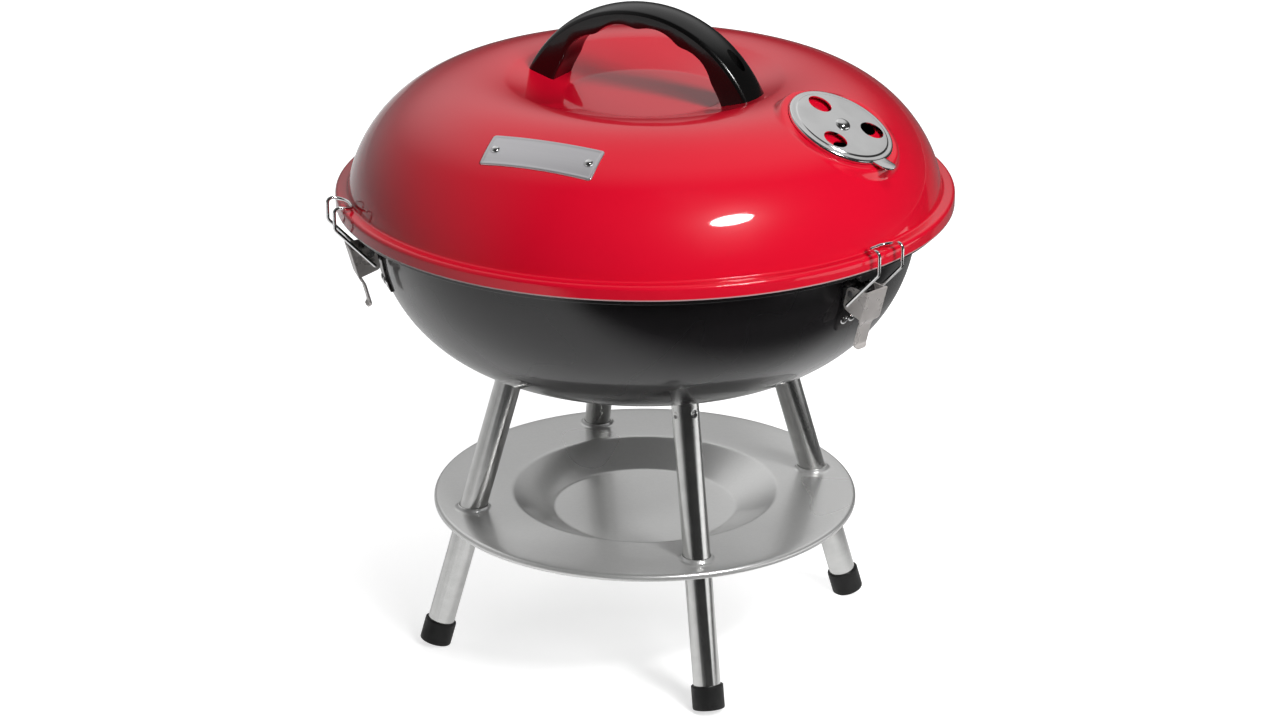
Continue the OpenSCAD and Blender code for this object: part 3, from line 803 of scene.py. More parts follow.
def bent_wire_tree():
    """A round wire along a line of points, with each corner bent to the point's own radius."""
    t = Tree("Bent wire", Wire_Radius=0.001, Bend_Steps=8)
    path = t.node("GeometryNodeMeshToCurve", {"Mesh": t.given["Geometry"]})
    bend = t.node("GeometryNodeInputNamedAttribute", {"Name": "bend"}, data_type="FLOAT")
    eased = t.node("GeometryNodeFilletCurve",
                   {"Curve": path, "Count": t.given["Bend Steps"], "Radius": bend}, mode="POLY")
    section = t.node("GeometryNodeCurvePrimitiveCircle", {"Resolution": 20, "Radius": t.given["Wire Radius"]})
    return t.end(t.node("GeometryNodeCurveToMesh",
                        {"Curve": eased, "Profile Curve": section, "Fill Caps": True}))


def welded_grate_tree():
    """A wire grate: a ring, parallel rods cut to it and two cross rods below them."""
    t = Tree("Welded grate", Ring_Radius=0.15, Ring_Wire=0.0024, Rod_Radius=0.0015, Pitch=0.015, Rods=19,
             Height=0.26, Cross=0.08)
    ring_r, rod_r, z, cross = (t.given[k] for k in ("Ring Radius", "Rod Radius", "Height", "Cross"))
    rod = t.node("GeometryNodeMeshCylinder", {"Vertices": 14, "Radius": 1.0, "Depth": 2.0})

    def laid(start, step, count, offset, rotation):
        """Rods in a row, each as long as the ring is wide there."""
        row = t.node("GeometryNodeMeshLine", {"Count": count, "Start Location": start, "Offset": step})
        where = t.node("GeometryNodeInputPosition")
        split = t.node("ShaderNodeSeparateXYZ", {0: where}, out=offset)
        rest = t.math("SUBTRACT", t.math("MULTIPLY", ring_r, ring_r), t.math("MULTIPLY", split, split))
        scale = t.vector(rod_r, rod_r, t.math("SQRT", rest))
        return t.node("GeometryNodeInstanceOnPoints",
                      {"Points": row, "Instance": rod, "Rotation": rotation, "Scale": scale})

    gaps = t.math("SUBTRACT", t.given["Rods"], 1.0)
    half = t.math("MULTIPLY", gaps, t.math("MULTIPLY", t.given["Pitch"], -0.5))
    long = laid(t.vector(y=half, z=z), t.vector(y=t.given["Pitch"]), t.given["Rods"], "Y",
                (0.0, math.pi / 2, 0.0))
    low = t.math("SUBTRACT", z, t.math("MULTIPLY", rod_r, 0.7))
    first, step = t.math("MULTIPLY", cross, -1.0), t.math("MULTIPLY", cross, 2.0)
    short = laid(t.vector(first, 0.0, low), t.vector(step), 2, "X", (math.pi / 2, 0.0, 0.0))
    hoop = t.node("GeometryNodeCurvePrimitiveCircle", {"Resolution": 160, "Radius": ring_r})
    section = t.node("GeometryNodeCurvePrimitiveCircle", {"Resolution": 14, "Radius": t.given["Ring Wire"]})
    ring = t.node("GeometryNodeCurveToMesh", {"Curve": hoop, "Profile Curve": section})
    ring = t.node("GeometryNodeTransform", {"Geometry": ring, "Translation": t.vector(z=z)})
    return t.end(t.node("GeometryNodeJoinGeometry", {"Geometry": [long, short, ring]}))


# ---- pieces


def rivet_heads(name, spots, body, slot, node, radius, height):
    """Domed heads on places, as one piece."""
    heads = grown(placed_points(spots), domed_heads_tree(), "plated", Head_Radius=radius, Head_Height=height)
    finish_piece(name, heads, body, slot, "plated", node)


def lid_profile():
    """Half-section of the lid's sheet, from the dish's middle over the dome to the skirt and back inside."""
    s = sizes()
    x, z = shoulder()
    low, skirt_z = recess_z(), s.ledge_z - s.skirt_h
    foot, rise = s.recess_r - s.recess_w, s.recess_d / s.recess_w
    slant = s.sheet * (math.sqrt(1 + 1 / rise**2) - 1 / rise)
    edge, bend_z, inside = s.rim_r - s.edge_r, s.ledge_z - s.edge_r, s.rim_r - s.sheet

    def dome(depth, steps):
        """The shoulder, drawn in by a depth, from where it meets the dish to the ledge."""
        a = math.degrees(math.acos((s.recess_r - x) / s.shoulder_r))
        b = math.degrees(math.asin((s.ledge_z - depth - z) / (s.shoulder_r - depth)))
        return arc(x, z, s.shoulder_r - depth, a, b, steps)

    over, under = dome(0, 170), dome(s.sheet, 44)
    runs = walked(
        (0, low), (foot, low, 12), (*over[0], 16), over, (edge, s.ledge_z),
        arc(edge, bend_z, s.edge_r, 90, 0, 8), (s.rim_r, skirt_z, 3), (inside, skirt_z), (inside, bend_z, 3),
        arc(edge, bend_z, s.edge_r - s.sheet, 0, 90, 6), under[-1], under[::-1],
        (foot + slant, low - s.sheet, 8), (0, low - s.sheet, 6))
    profile = joined(runs, np.array([1.5, 1.5, 1.3, 0, 0, 0.4, 0.4, 0, 0, 1, 1.5, 1.5]) * MM)
    turn_back = int(np.argmin(profile[:, 1] + 1000 * (profile[:, 0] < inside - s.sheet)))
    return profile, turn_back


def make_lid():
    """The lid: a lathe-turned dome with the vent's seat pressed into it."""
    s = sizes()
    profile, turn_back = lid_profile()
    near, soft, deep = math.radians(21), 2 * MM, 30 * MM
    fine = s.vent_turn + np.linspace(-near, near, 118)
    coarse = s.vent_turn + np.linspace(near, 2 * math.pi - near, 136)[1:-1]
    place = vent_frame()
    local = moved(turned(profile, np.concatenate([fine, coarse])), place.inverted())
    reach = np.hypot(local[..., 0], local[..., 1])
    t = np.clip((s.disc_r + s.seat_margin + soft - reach) / (2 * soft), 0, 1)
    t = t * t * (3 - 2 * t) * (np.abs(local[..., 2]) < deep)
    seat = np.where(np.arange(len(profile)) <= turn_back, 0, -s.sheet)[:, None]
    local[..., 2] = local[..., 2] * (1 - t) + seat * t
    mesh = drilled(solid("lid", skin(moved(local, place))), place, s.disc_turn + s.vent_shut, -8 * MM, 8 * MM)
    finish_piece("lid_skin", mesh, "lid", "red_enamel", "lid", "lid_shell")


def grip_radius(t):
    """How far the grip's underside lies from its own centre at the angles t, with four finger hollows."""
    s = sizes()
    r = np.full_like(t, s.handle_low_r)
    centre, ease = s.handle_low_r + s.finger_d - s.finger_r, 4
    for n in (-1.5, -0.5, 0.5, 1.5):
        d = t - math.pi / 2 - n * s.finger_step
        inside = s.finger_r**2 - (centre * np.sin(d)) ** 2
        reach = centre * np.cos(d) + np.sqrt(np.maximum(inside, 0))
        r = np.where((inside > 0) & (np.cos(d) > 0.5), np.maximum(r, reach), r)
    soft = np.exp(-0.5 * (np.arange(-3 * ease, 3 * ease + 1) / ease) ** 2)
    return np.convolve(np.pad(r, 3 * ease, mode="edge"), soft / soft.sum(), "valid")


def handle_ring(y, inset):
    """Closed section of the handle at y from its middle plane, drawn in by inset at its rounded edges."""
    s = sizes()
    slope, start, crown_r, gap = s.recess_d / s.recess_w, s.recess_r - s.recess_w, 30 * MM, 0.03 * MM
    top_y, low_y = s.handle_h - s.handle_top_r, s.handle_h - s.handle_t - s.handle_low_r
    top_r = s.handle_top_r - inset - (crown_r - math.sqrt(crown_r**2 - y * y))
    low_inset = 0.7 * inset

    def ground(x):
        """Height of the dish's wall over its floor."""
        return np.maximum((np.hypot(x, y) - start) * slope + gap, 0)

    def foot_angle(r, cy):
        """Angle at which a circle about the handle's middle comes down to the dish."""
        t = np.linspace(-math.pi / 4, math.pi / 2, 3000)
        return float(np.interp(0, cy + r * np.sin(t) - ground(r * np.cos(t)), t))

    a = math.degrees(foot_angle(top_r, top_y))
    top = arc(0, top_y, top_r, 180 - a, a, 150)
    b = foot_angle(s.handle_low_r + low_inset, low_y)
    t = np.linspace(b, math.pi - b, 261)
    under = circle(grip_radius(t) + low_inset, t) + (0, low_y)
    right, left = line(top[-1], under[0], 14)[1:-1], line(under[-1], top[0], 14)[1:-1]
    for foot in (right, left):
        foot[:, 1] = ground(foot[:, 0])
    return np.vstack([top, right, under, left])


def make_handle():
    """The handle: a crowned grip with finger hollows, feet shaped to the dish and sunk screws."""
    half, edge, sharp = sizes().handle_w / 2, 1.9 * MM, 50
    t = np.radians(np.linspace(0, 90, 8))
    side = half - edge * (1 - np.cos(t))
    ys = np.concatenate([-side, np.linspace(-half + edge, half - edge, 14)[1:-1], side[::-1]])
    rounding = edge * (1 - np.sin(t))
    insets = np.concatenate([rounding, np.zeros(12), rounding[::-1]])
    rows = []
    for y, inset in zip(ys, insets):
        ring = handle_ring(y, inset)
        rows.append(np.stack([ring[:, 0], np.full(len(ring), y), ring[:, 1] + recess_z()], 1))
    mesh = solid("handle", closed_tube(np.stack(rows)), sharp=sharp)
    head, shank = (3.5 * MM, 8 * MM, 50 * MM), (2.4 * MM, -5 * MM, 9 * MM)
    for r, low, high in (head, shank):
        mesh = combined(mesh, solid("sunk", *rods(screw_frames(), r, low, high)), sharp=sharp)
    finish_piece("handle_grip", mesh, "lid", "black_plastic", "handle", "lid_handle")


def make_handle_fixings():
    """Washers and nuts that hold the handle from inside the lid; the screws stay as they are."""

    def inside(gap):
        """Points a gap below the sheet, one for each screw."""
        return placed_points([p @ shift(z=-sizes().sheet - gap) for p in screw_frames()])

    rings = grown(inside(0.5 * MM), washers_tree(), "steel", Ring_Radius=4.1 * MM, Ring_Width=3.7 * MM,
                  Thickness=1 * MM)
    finish_piece("handle_washer_rings", rings, "lid", "steel", "steel", "handle_washers")
    nuts = grown(inside(2.75 * MM), hex_nuts_tree(), "steel", Nut_Radius=4.3 * MM, Nut_Height=3.5 * MM)
    finish_piece("handle_nut_set", bevelled(nuts, 0.25 * MM), "lid", "steel", "steel", "handle_nuts")


def on_dome(flat, place, lift):
    """Points above the dome's shoulder by lift, straight along a place's +Z from its plane."""
    x, z = shoulder()
    deep, high = -12 * MM, 6 * MM

    def past(height):
        """Whether points at a height over the plane lie outside the lifted shoulder."""
        p = moved(np.column_stack([flat, height]), place)
        return np.hypot(np.hypot(p[:, 0], p[:, 1]) - x, p[:, 2] - z) > sizes().shoulder_r + lift

    return moved(np.column_stack([flat, last_before(deep, high, past, len(flat))]), place)


def make_badge():
    """The bare badge: a thin plate bent to the dome, with a pressed border and two rivets."""
    s = sizes()
    place, corner, border = badge_frame(), 1.8 * MM, 4 * MM
    rivet_in, rivet_lift, under_lid, gap = 5.5 * MM, 0.65 * MM, 0.9 * MM, 0.02 * MM
    half_w, half_h = s.badge_w / 2, s.badge_h / 2
    depth = np.array([0, 0.12, 0.4, 1.1, 1.5, 1.8, 2.2]) * MM
    lift = np.array([0.55, 0.78, 0.9, 0.9, 0.84, 0.72, 0.7]) * MM

    def across(half, steps):
        """Places from edge to edge, close together over the pressed border."""
        middle = np.linspace(border - half, half - border, steps)
        return np.concatenate([depth - half, middle, half - depth[::-1]])

    rows = []
    for x in across(half_w, 40):
        over = max(0, abs(x) - half_w + corner)
        h = half_h - corner + math.sqrt(corner**2 - over**2)
        ys = across(h, 8)
        flat = np.column_stack([np.full(len(ys), x), ys])
        inset = np.minimum(half_w - abs(x), h - np.abs(ys))
        top = on_dome(flat, place, np.interp(inset, depth, lift))
        rows.append(np.vstack([top, on_dome(flat[::-1], place, gap)]))
    mesh = solid("badge", closed_tube(np.stack(rows)), sharp=50)
    finish_piece("badge_face", mesh, "lid", "bare_badge", "badge", "badge_plate")
    spots = []
    for x in (rivet_in - half_w, half_w - rivet_in):
        foot = Vector(on_dome(np.array([[x, 0]]), place, rivet_lift)[0])
        spots += facing_pair(Matrix.Translation(foot) @ place.to_3x3().to_4x4(), s.sheet + under_lid)
    rivet_heads("badge_rivet_heads", spots, "lid", "steel", "badge_rivets", radius=2.6 * MM, height=1.6 * MM)


def vent_disc_mesh(place):
    """A vent disc: raised plate, stepped border, turned-down edge, three holes and a finger tab."""
    s = sizes()
    r, gap, high, sheet = s.disc_r, 0.3 * MM, 3.5 * MM, 0.9 * MM
    border, border_z = r - 3.4 * MM, high - 0.7 * MM
    plate, inside = border - 0.7 * MM, r - sheet
    runs = walked(
        (0, high), (plate, high, 6), (border, border_z), (r, border_z, 4), (r, gap, 4), (inside, gap),
        (inside, border_z - sheet, 4), (border - sheet, border_z - sheet, 3), (plate - sheet, high - sheet),
        (0, high - sheet, 4))
    profile = joined(runs, np.array([0.3, 0.3, 1.5, 0.25, 0.25, 0.9, 0.3, 0.3]) * MM)
    mesh = solid("disc", skin(moved(turned(profile, even_angles(128)), place)))
    tab = place @ turn(s.disc_turn - math.radians(60), "Z") @ shift(r - 2 * MM, 0, 1.7 * MM)
    tab, long, half, thick = tab @ turn(math.radians(-12), "Y"), 6.5 * MM, 5.5 * MM, 1.2 * MM
    outline = np.vstack([line((0, -half), (long, -half)), arc(long, 0, half, -90, 90, 20)[1:], [(0, half)]])
    rings = moved(prism(outline, -thick / 2, thick / 2), tab)
    mesh = combined(mesh, bevelled(solid("tab", closed_tube(rings)), 0.3 * MM), "UNION")
    return drilled(mesh, place, s.disc_turn, -2 * MM, 8 * MM)


def make_vents():
    """Both vent discs and their rivets."""
    head_z, between = 3.45 * MM, 5.05 * MM
    for body, owner, place in (("lid_vent", "lid", vent_frame()), ("bowl_vent", "bowl", bowl_vent_frame())):
        finish_piece(body + "_plate", vent_disc_mesh(place), body, "chrome", "plated", body + "_disc")
        spots = facing_pair(place @ shift(z=head_z), between)
        rivet_heads(body + "_rivet_heads", spots, owner, "chrome", body + "_rivet", radius=4.5 * MM,
                    height=2.5 * MM)


def bowl_curve(d, steps):
    """The bowl's section below its flange, drawn in by d: flat bottom, crown and bend, as runs of points."""
    s = sizes()
    kx, kz = bend_centre()
    base, crown = bowl_z() + d, s.bowl_crown_r - d
    start = math.sqrt(crown**2 - (crown - BOWL_FLAT) ** 2)
    a = -90 + math.degrees(math.asin(start / crown))
    b = -math.degrees(math.atan2(base + crown - kz, kx))
    flat = line((0, base + BOWL_FLAT), (start, base + BOWL_FLAT), 6)
    return [flat, arc(0, base + crown, crown, a, b, steps), arc(kx, kz, s.bowl_bend_r - d, b, 0, 2 * steps)]


def make_bowl():
    """The bowl: turned sheet with a flange and a turned-down lip, and the vent's holes."""
    s = sizes()
    top, lip = s.ledge_z - s.sheet, s.rim_r - s.sheet - s.lip_gap
    edge, bend_z, inside, low = lip - s.edge_r, top - s.edge_r, lip - s.sheet, top - s.lip_h
    outer, inner = bowl_curve(0, 24), bowl_curve(s.sheet, 20)
    wall_o, wall_i = outer[-1][-1], inner[-1][-1]
    flange = walked(
        wall_o, (wall_o[0], top - s.sheet, 3), (edge, top - s.sheet, 3),
        arc(edge, bend_z, s.edge_r - s.sheet, 90, 0, 6), (inside, low, 2), (lip, low), (lip, bend_z, 2),
        arc(edge, bend_z, s.edge_r, 0, 90, 8), (wall_i[0], top, 3), (*wall_i, 3))
    softs = np.array([2, 0, 0, 1.5, 0, 0, 0.4, 0.4, 0, 0, 1.8, 0, 0, 2]) * MM
    profile = joined(outer + flange + [run[::-1] for run in inner[::-1]], softs)
    mesh = solid("bowl", skin(turned(profile, even_angles(s.segments))))
    mesh = drilled(mesh, bowl_vent_frame(), s.disc_turn, -6 * MM, 6 * MM)
    finish_piece("bowl_skin", mesh, "bowl", "black_enamel", "bowl", "bowl_shell")


def make_grates():
    """The cooking grate, which lifts out, and the charcoal grate."""
    s = sizes()
    tree, (kx, kz) = welded_grate_tree(), bend_centre()
    low_share, wide_gap, narrow_gap, cross_share = 0.24, 5 * MM, 2.25 * MM, 0.55
    high, low = s.ledge_z - s.sheet - s.grate_drop, bowl_z() + low_share * s.bowl_depth
    wide = s.rim_r - s.neck_in - s.sheet - wide_gap
    narrow = kx + math.sqrt((s.bowl_bend_r - s.sheet - narrow_gap) ** 2 - (kz - low) ** 2)
    for node, body, slot, key, ring, height, pitch, ring_wire, rod in (
            ("cooking_grate", "grate", "chrome", "wire", wide, high, s.rod_pitch, 2.4 * MM, 1.5 * MM),
            ("charcoal_grate", "bowl", "steel", "grate", narrow, low, 1.4 * s.rod_pitch, 2.2 * MM, 1.8 * MM)):
        rods_in_ring = 2 * int((ring - 0.5 * pitch) / pitch) + 1
        mesh = grown(bpy.data.meshes.new("seed"), tree, key, Ring_Radius=ring, Ring_Wire=ring_wire,
                     Rod_Radius=rod, Pitch=pitch, Rods=rods_in_ring, Height=height, Cross=cross_share * ring)
        finish_piece(node + "_wires", mesh, body, slot, key, node)


def lever_mesh(place):
    """A latch lever: a bent plate with a narrower rounded tail and two side flanges."""
    p = pivot()
    bends = [p + np.array(at) * MM for at in ((10.5, 3), (5.6, -15), (2.6, -18.5), (-1, -32), (1.2, -34))]
    path = joined([line(a, b, 9) for a, b in zip(bends, bends[1:])], [1.2 * MM, 1.6 * MM, 1.6 * MM])
    thick, wide, tail = 1.2 * MM, 8.4 * MM, 5 * MM
    neck, ease, tip_h, tip_in = 19.5 * MM, 2 * MM, 3.4 * MM, 3 * MM
    along = np.gradient(path, axis=0)
    out = np.stack([-along[:, 1], along[:, 0]], 1) / np.linalg.norm(along, axis=1)[:, None]
    drop = path[0, 1] - path[:, 1]
    narrowing = np.clip((drop - neck + ease) / ease, 0, 1)
    half = tail + (wide - tail) * np.sqrt(1 - narrowing**2)
    tip = np.clip((drop - drop[-1] + tip_h) / tip_h, 0, 1)
    half = np.where(tip > 0, tail - tip_in * (1 - np.sqrt(1 - tip**2 * 0.98)), half)
    rows = []
    for spot, normal, h in zip(path, out, half):
        y = np.linspace(-h, h, 9)
        faces = ((spot + normal * thick, y), (spot, y[::-1]))
        rows.append(np.vstack([np.stack([np.full(9, x), ys, np.full(9, z)], 1) for (x, z), ys in faces]))
    plate = solid("plate", closed_tube(moved(np.stack(rows), place)))
    corners = [p + np.array(at) * MM for at in ((11, 2.5), (6.2, -14))]
    pin_ear, bail_ear = 3.6 * MM, 3 * MM
    cheek = hull(np.vstack([arc(*p, pin_ear, 0, 350, 35), arc(*bail_link(), bail_ear, 0, 350, 35), corners]))
    for side in (-1, 1):
        rows = np.stack([np.column_stack([cheek[:, 0], np.full(len(cheek), side * y), cheek[:, 1]])
                         for y in (wide - thick, wide)])
        plate = combined(plate, solid("flange", closed_tube(moved(rows, place))), "UNION")
    return bevelled(plate, 0.22 * MM)


def bail_points():
    """Half of a bail's path in radius, side and height, with the bend at each corner."""
    s = sizes()
    x, z = bail_link()
    end, side, out = 7 * MM, 9.7 * MM, s.rim_r + s.bail_out
    return [((x, end, z), 0), ((x, side, z), 1.3 * MM),
            ((out, side, s.ledge_z - 9 * MM), 3 * MM), ((out, side, s.ledge_z + 4.5 * MM), 3 * MM),
            ((s.rim_r - s.bail_hook, side, s.ledge_z + s.wire_r + 0.75 * MM), s.bail_bend)]


def make_latches():
    """Three toggle latches: lever, wire bail and rivets; bases and pins keep their CAD shape."""
    s = sizes()
    wire, half, (kx, kz) = bent_wire_tree(), bail_points(), bend_centre()
    path = half + [((x, -y, z), bend) for (x, y, z), bend in half[::-1]]
    rivet_z, rivet_y, rivet_out, between = pivot()[1] - 19 * MM, 3.2 * MM, 1.4 * MM, 2.5 * MM
    lean = math.asin((kz - rivet_z) / s.bowl_bend_r)
    rivet_x = kx + s.bowl_bend_r * math.cos(lean) + rivet_out
    spots = []
    for i in LATCHES:
        place = latch_frame(i)
        finish_piece(f"latch_lever_plate_{i}", lever_mesh(place), f"lever_{i}", "chrome", "zinc",
                     f"latch_lever_{i}")
        seed = bpy.data.meshes.new("path")
        seed.from_pydata([place @ Vector(p) for p, _ in path], [(n, n + 1) for n in range(len(path) - 1)], [])
        bends = seed.attributes.new("bend", "FLOAT", "POINT")
        bends.data.foreach_set("value", [bend for _, bend in path])
        mesh = grown(seed, wire, "wire", Wire_Radius=s.wire_r, Bend_Steps=8)
        finish_piece(f"latch_bail_wire_{i}", mesh, f"bail_{i}", "chrome", "wire", f"latch_bail_{i}")
        for y in (-rivet_y, rivet_y):
            spots += facing_pair(place @ shift(rivet_x, y, rivet_z) @ turn(math.pi / 2 + lean, "Y"), between)
    rivet_heads("latch_rivet_heads", spots, "bowl", "steel", "latch_rivets", radius=2.6 * MM, height=1.5 * MM)


def inside_bowl(r, z):
    """Whether points lie inside the bowl's outer curve."""
    s = sizes()
    crown, bend, (kx, kz) = s.bowl_crown_r, s.bowl_bend_r, bend_centre()
    by_crown = np.hypot(r, z - bowl_z() - crown) < crown
    return np.where(r < kx * crown / (crown - bend), by_crown, np.hypot(r - kx, z - kz) < bend)


def leg_top(place, ring):
    """How far along a leg each line of its wall runs before it meets the bowl."""
    low, high, gap = 100 * MM, 215 * MM, 0.05 * MM

    def met(height):
        """Whether points at a height along the leg lie inside the bowl."""
        p = moved(np.column_stack([ring, height]), place)
        return inside_bowl(np.hypot(p[:, 0], p[:, 1]), p[:, 2])

    return last_before(low, high, met, len(ring)) - gap


def make_legs():
    """Four polished tubes, cut to the bowl, with the dimples that hold them on their plugs."""
    s = sizes()
    sides, end, dimple, deep, first = 96, 3 * MM, 2.2 * MM, 0.9 * MM, 24.5
    around, into_bowl, below_top = even_angles(sides), 8 * MM, 8 * MM
    stake = (bowl_z() + into_bowl - leg_frame(1).translation.z) / math.cos(s.leg_lean) - below_top
    start = stake + 2.4 * MM
    for i in LEGS:
        place = leg_frame(i)
        top = leg_top(place, circle(s.leg_r, around))
        levels = [*np.linspace(end, stake - 3 * MM, 34), *np.linspace(stake - 2.6 * MM, start, 16),
                  *[start + (top - start) * t for t in np.linspace(0, 1, 9)[1:]]]
        rows = []
        for z in levels:
            r = np.full(sides, s.leg_r)
            for n in range(4):
                off = (around - math.radians(first + 90 * n) + math.pi) % (2 * math.pi) - math.pi
                d = np.hypot(off * s.leg_r, z - stake)
                r -= deep * np.clip(1 - (d / dimple) ** 2, 0, 1) ** 1.5
            rows.append(np.column_stack([circle(r, around), z + 0 * around]))
        rows += [np.column_stack([circle(s.leg_r - s.leg_wall, around), z + 0 * around]) for z in (top, end)]
        mesh = solid("leg", skin(moved(np.stack(rows), place), wrap_rows=True), sharp=40)
        along_leg(mesh, place)
        finish_piece(f"leg_tube_{i}", mesh, "bowl", "chrome", "tube", f"leg_{i}")


def along_leg(mesh, place):
    """A UV map with the turn about the leg across and the distance along it, for the polishing lines."""
    co = np.zeros(len(mesh.vertices) * 3)
    mesh.vertices.foreach_get("co", co)
    local = moved(co.reshape(-1, 3), place.inverted())
    around = np.arctan2(local[:, 1], local[:, 0]) / (2 * math.pi)
    layer = mesh.uv_layers.new(name="along")
    uv = np.zeros((len(mesh.loops), 2))
    for face in mesh.polygons:
        ids = [mesh.loops[k].vertex_index for k in face.loop_indices]
        u = around[ids]
        u = np.where(u < u.max() - 0.5, u + 1, u)
        uv[list(face.loop_indices)] = np.stack([u, local[ids, 2] * 5], 1)
    layer.data.foreach_set("uv", uv.ravel())


def collar(place, hole, top):
    """Shell of the collar around a leg's hole, from steps outwards and upwards in millimetres."""
    around, up, rows = even_angles(64), np.array(place.to_3x3() @ Vector((0, 0, 1))), []
    for out, rise in ((2.6, -0.4), (2.6, 0.05), (1.9, 0.2), (1.35, 0.6), (1.1, 1.2), (1.0, 1.8), (0.75, 2.15),
                      (0.35, 2.2), (0.05, 2.0), (0.0, 1.5), (0.0, -0.4)):
        p = moved(np.column_stack([circle(hole + out * MM, around), 0 * around]), place)
        rows.append(p + up * ((top + rise * MM - p[:, 2]) / up[2])[:, None])
    return skin(np.stack(rows), wrap_rows=True)


def make_catcher():
    """The ash catcher: turned dish and brim with a rolled edge, and a collar where each leg passes."""
    s = sizes()
    slope_w, clearance = 25 * MM, 0.15 * MM
    top, floor, foot = s.catcher_z, s.catcher_z - s.dish_d, s.dish_r - slope_w
    edge, inside = s.catcher_r - s.edge_r, s.catcher_r - s.sheet
    bend_z, low = top - s.edge_r, top - s.catcher_edge
    runs = walked(
        (0, floor), (foot, floor, 6), (s.dish_r, top, 10), (edge, top, 8),
        arc(edge, bend_z, s.edge_r, 90, 0, 8), (s.catcher_r, low, 2), (inside, low), (inside, bend_z, 2),
        arc(edge, bend_z, s.edge_r - s.sheet, 0, 90, 6), (s.dish_r, top - s.sheet, 6),
        (foot, floor - s.sheet, 8), (0, floor - s.sheet, 4))
    profile = joined(runs, np.array([1.5, 1.5, 0, 0, 0.4, 0.4, 0, 0, 1.5, 1.5]) * MM)
    mesh = solid("catcher", skin(turned(profile, even_angles(s.segments))))
    hole, legs = s.leg_r + clearance, [leg_frame(i) for i in LEGS]
    mesh = combined(mesh, solid("holes", *rods(legs, hole, 60 * MM, 120 * MM, 64)))
    collars = solid("collars", *[collar(place, hole, top) for place in legs], sharp=60)
    mesh = combined(mesh, collars, "UNION", sharp=40)
    finish_piece("catcher_dish", mesh, "bowl", "grey_paint", "catcher", "ash_catcher")


def make_feet():
    """Four rubber caps, flat where they stand."""
    s = sizes()
    floor, gap = 3 * MM, 0.02 * MM
    r, bore, h = s.leg_r + s.foot_wall, s.leg_r + gap, s.foot_h
    runs = walked((0, 0), (r, 0, 6), (r, h, 10), (bore, h), (bore, floor, 4), (0, floor, 2))
    profile = joined(runs, np.array([0.9, 0.7, 0.25, 0]) * MM)
    for i in LEGS:
        points = moved(turned(profile, even_angles(72)), leg_frame(i))
        points[..., 2] = np.maximum(points[..., 2], 0)
        mesh = solid("foot", skin(points), sharp=40)
        finish_piece(f"foot_boot_{i}", mesh, "bowl", "foot_rubber", "rubber", f"foot_cap_{i}")


def paint_cad_nodes():
    """Gives every CAD node that stays in view its finish."""
    table = {"handle_screws": "plated", "latch_bases": "base", "latch_pins": "plated", "grate_rests": "steel",
             "leg_plugs": "steel", "leg_bolts": "steel", "leg_washers": "steel"}
    for name, key in table.items():
        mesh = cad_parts[name].data
        mesh.materials.clear()
        mesh.materials.append(finish(key))


# ---- stage


def aimed(azimuth, elevation):
    """A unit vector towards a direction in degrees."""
    a, e = math.radians(azimuth), math.radians(elevation)
    return Vector((math.cos(a) * math.cos(e), math.sin(a) * math.cos(e), math.sin(e)))


def facing(name, data, place, target):
    """A lamp or camera at a place, turned to a target."""
    obj = added(name, data)
    obj.location = place
    obj.rotation_euler = (target - place).to_track_quat("-Z", "Y").to_euler()
    return obj


def towards(tree, place, azimuth, elevation, start, end, level):
    """A soft step up to a level, along a direction, of the places that an output gives."""
    along = wired(tree, "ShaderNodeVectorMath", {0: place, 1: aimed(azimuth, elevation)}, out="Value",
                  operation="DOT_PRODUCT")
    return wired(tree, "ShaderNodeMapRange", {"Value": along, "From Min": start, "From Max": end,
                                              "To Max": level}, interpolation_type="SMOOTHSTEP")


def studio_world(room):
    """A dim studio with a bright ceiling behind and a bright left side; camera rays see white."""
    world = bpy.data.worlds.new("studio")
    bpy.context.scene.world = world
    world.use_nodes = True
    tree, white = world.node_tree, (1, 1, 1, 1)
    tree.nodes.clear()
    place, total = wired(tree, "ShaderNodeTexCoord", out="Generated"), 0.035
    for azimuth, elevation, inner, outer, level in ((120, 55, 25, 50, 0.60), (185, 8, 15, 70, 0.36)):
        patch = towards(tree, place, azimuth, elevation, math.cos(math.radians(outer)),
                        math.cos(math.radians(inner)), level)
        total = wired(tree, "ShaderNodeMath", {0: patch, 1: total})
    ray = wired(tree, "ShaderNodeLightPath").node.outputs
    share = wired(tree, "ShaderNodeMapRange", {"Value": ray["Is Glossy Ray"], "To Min": room})
    light = wired(tree, "ShaderNodeMath", {0: share, 1: total}, operation="MULTIPLY")
    studio = wired(tree, "ShaderNodeBackground", {"Color": white, "Strength": light})
    clear = wired(tree, "ShaderNodeBackground", {"Color": white})
    mix = wired(tree, "ShaderNodeMixShader", {0: ray["Is Camera Ray"], 1: studio, 2: clear})
    wired(tree, "ShaderNodeOutputWorld", {"Surface": mix})


def stage_sheet(name, half, z, material_of, *values):
    """A square sheet on the stage, with a material whose shader a function writes into an empty tree."""
    material = bpy.data.materials.new(name)
    material.use_nodes = True
    tree = material.node_tree
    tree.nodes.clear()
    wired(tree, "ShaderNodeOutputMaterial", {"Surface": material_of(tree, *values)})
    mesh = bpy.data.meshes.new(name)
    corners = [(x * half, y * half, z) for x, y in ((-1, -1), (1, -1), (1, 1), (-1, 1))]
    mesh.from_pydata(corners, [], [(0, 1, 2, 3)])
    mesh.materials.append(material)
    return added(name, mesh)


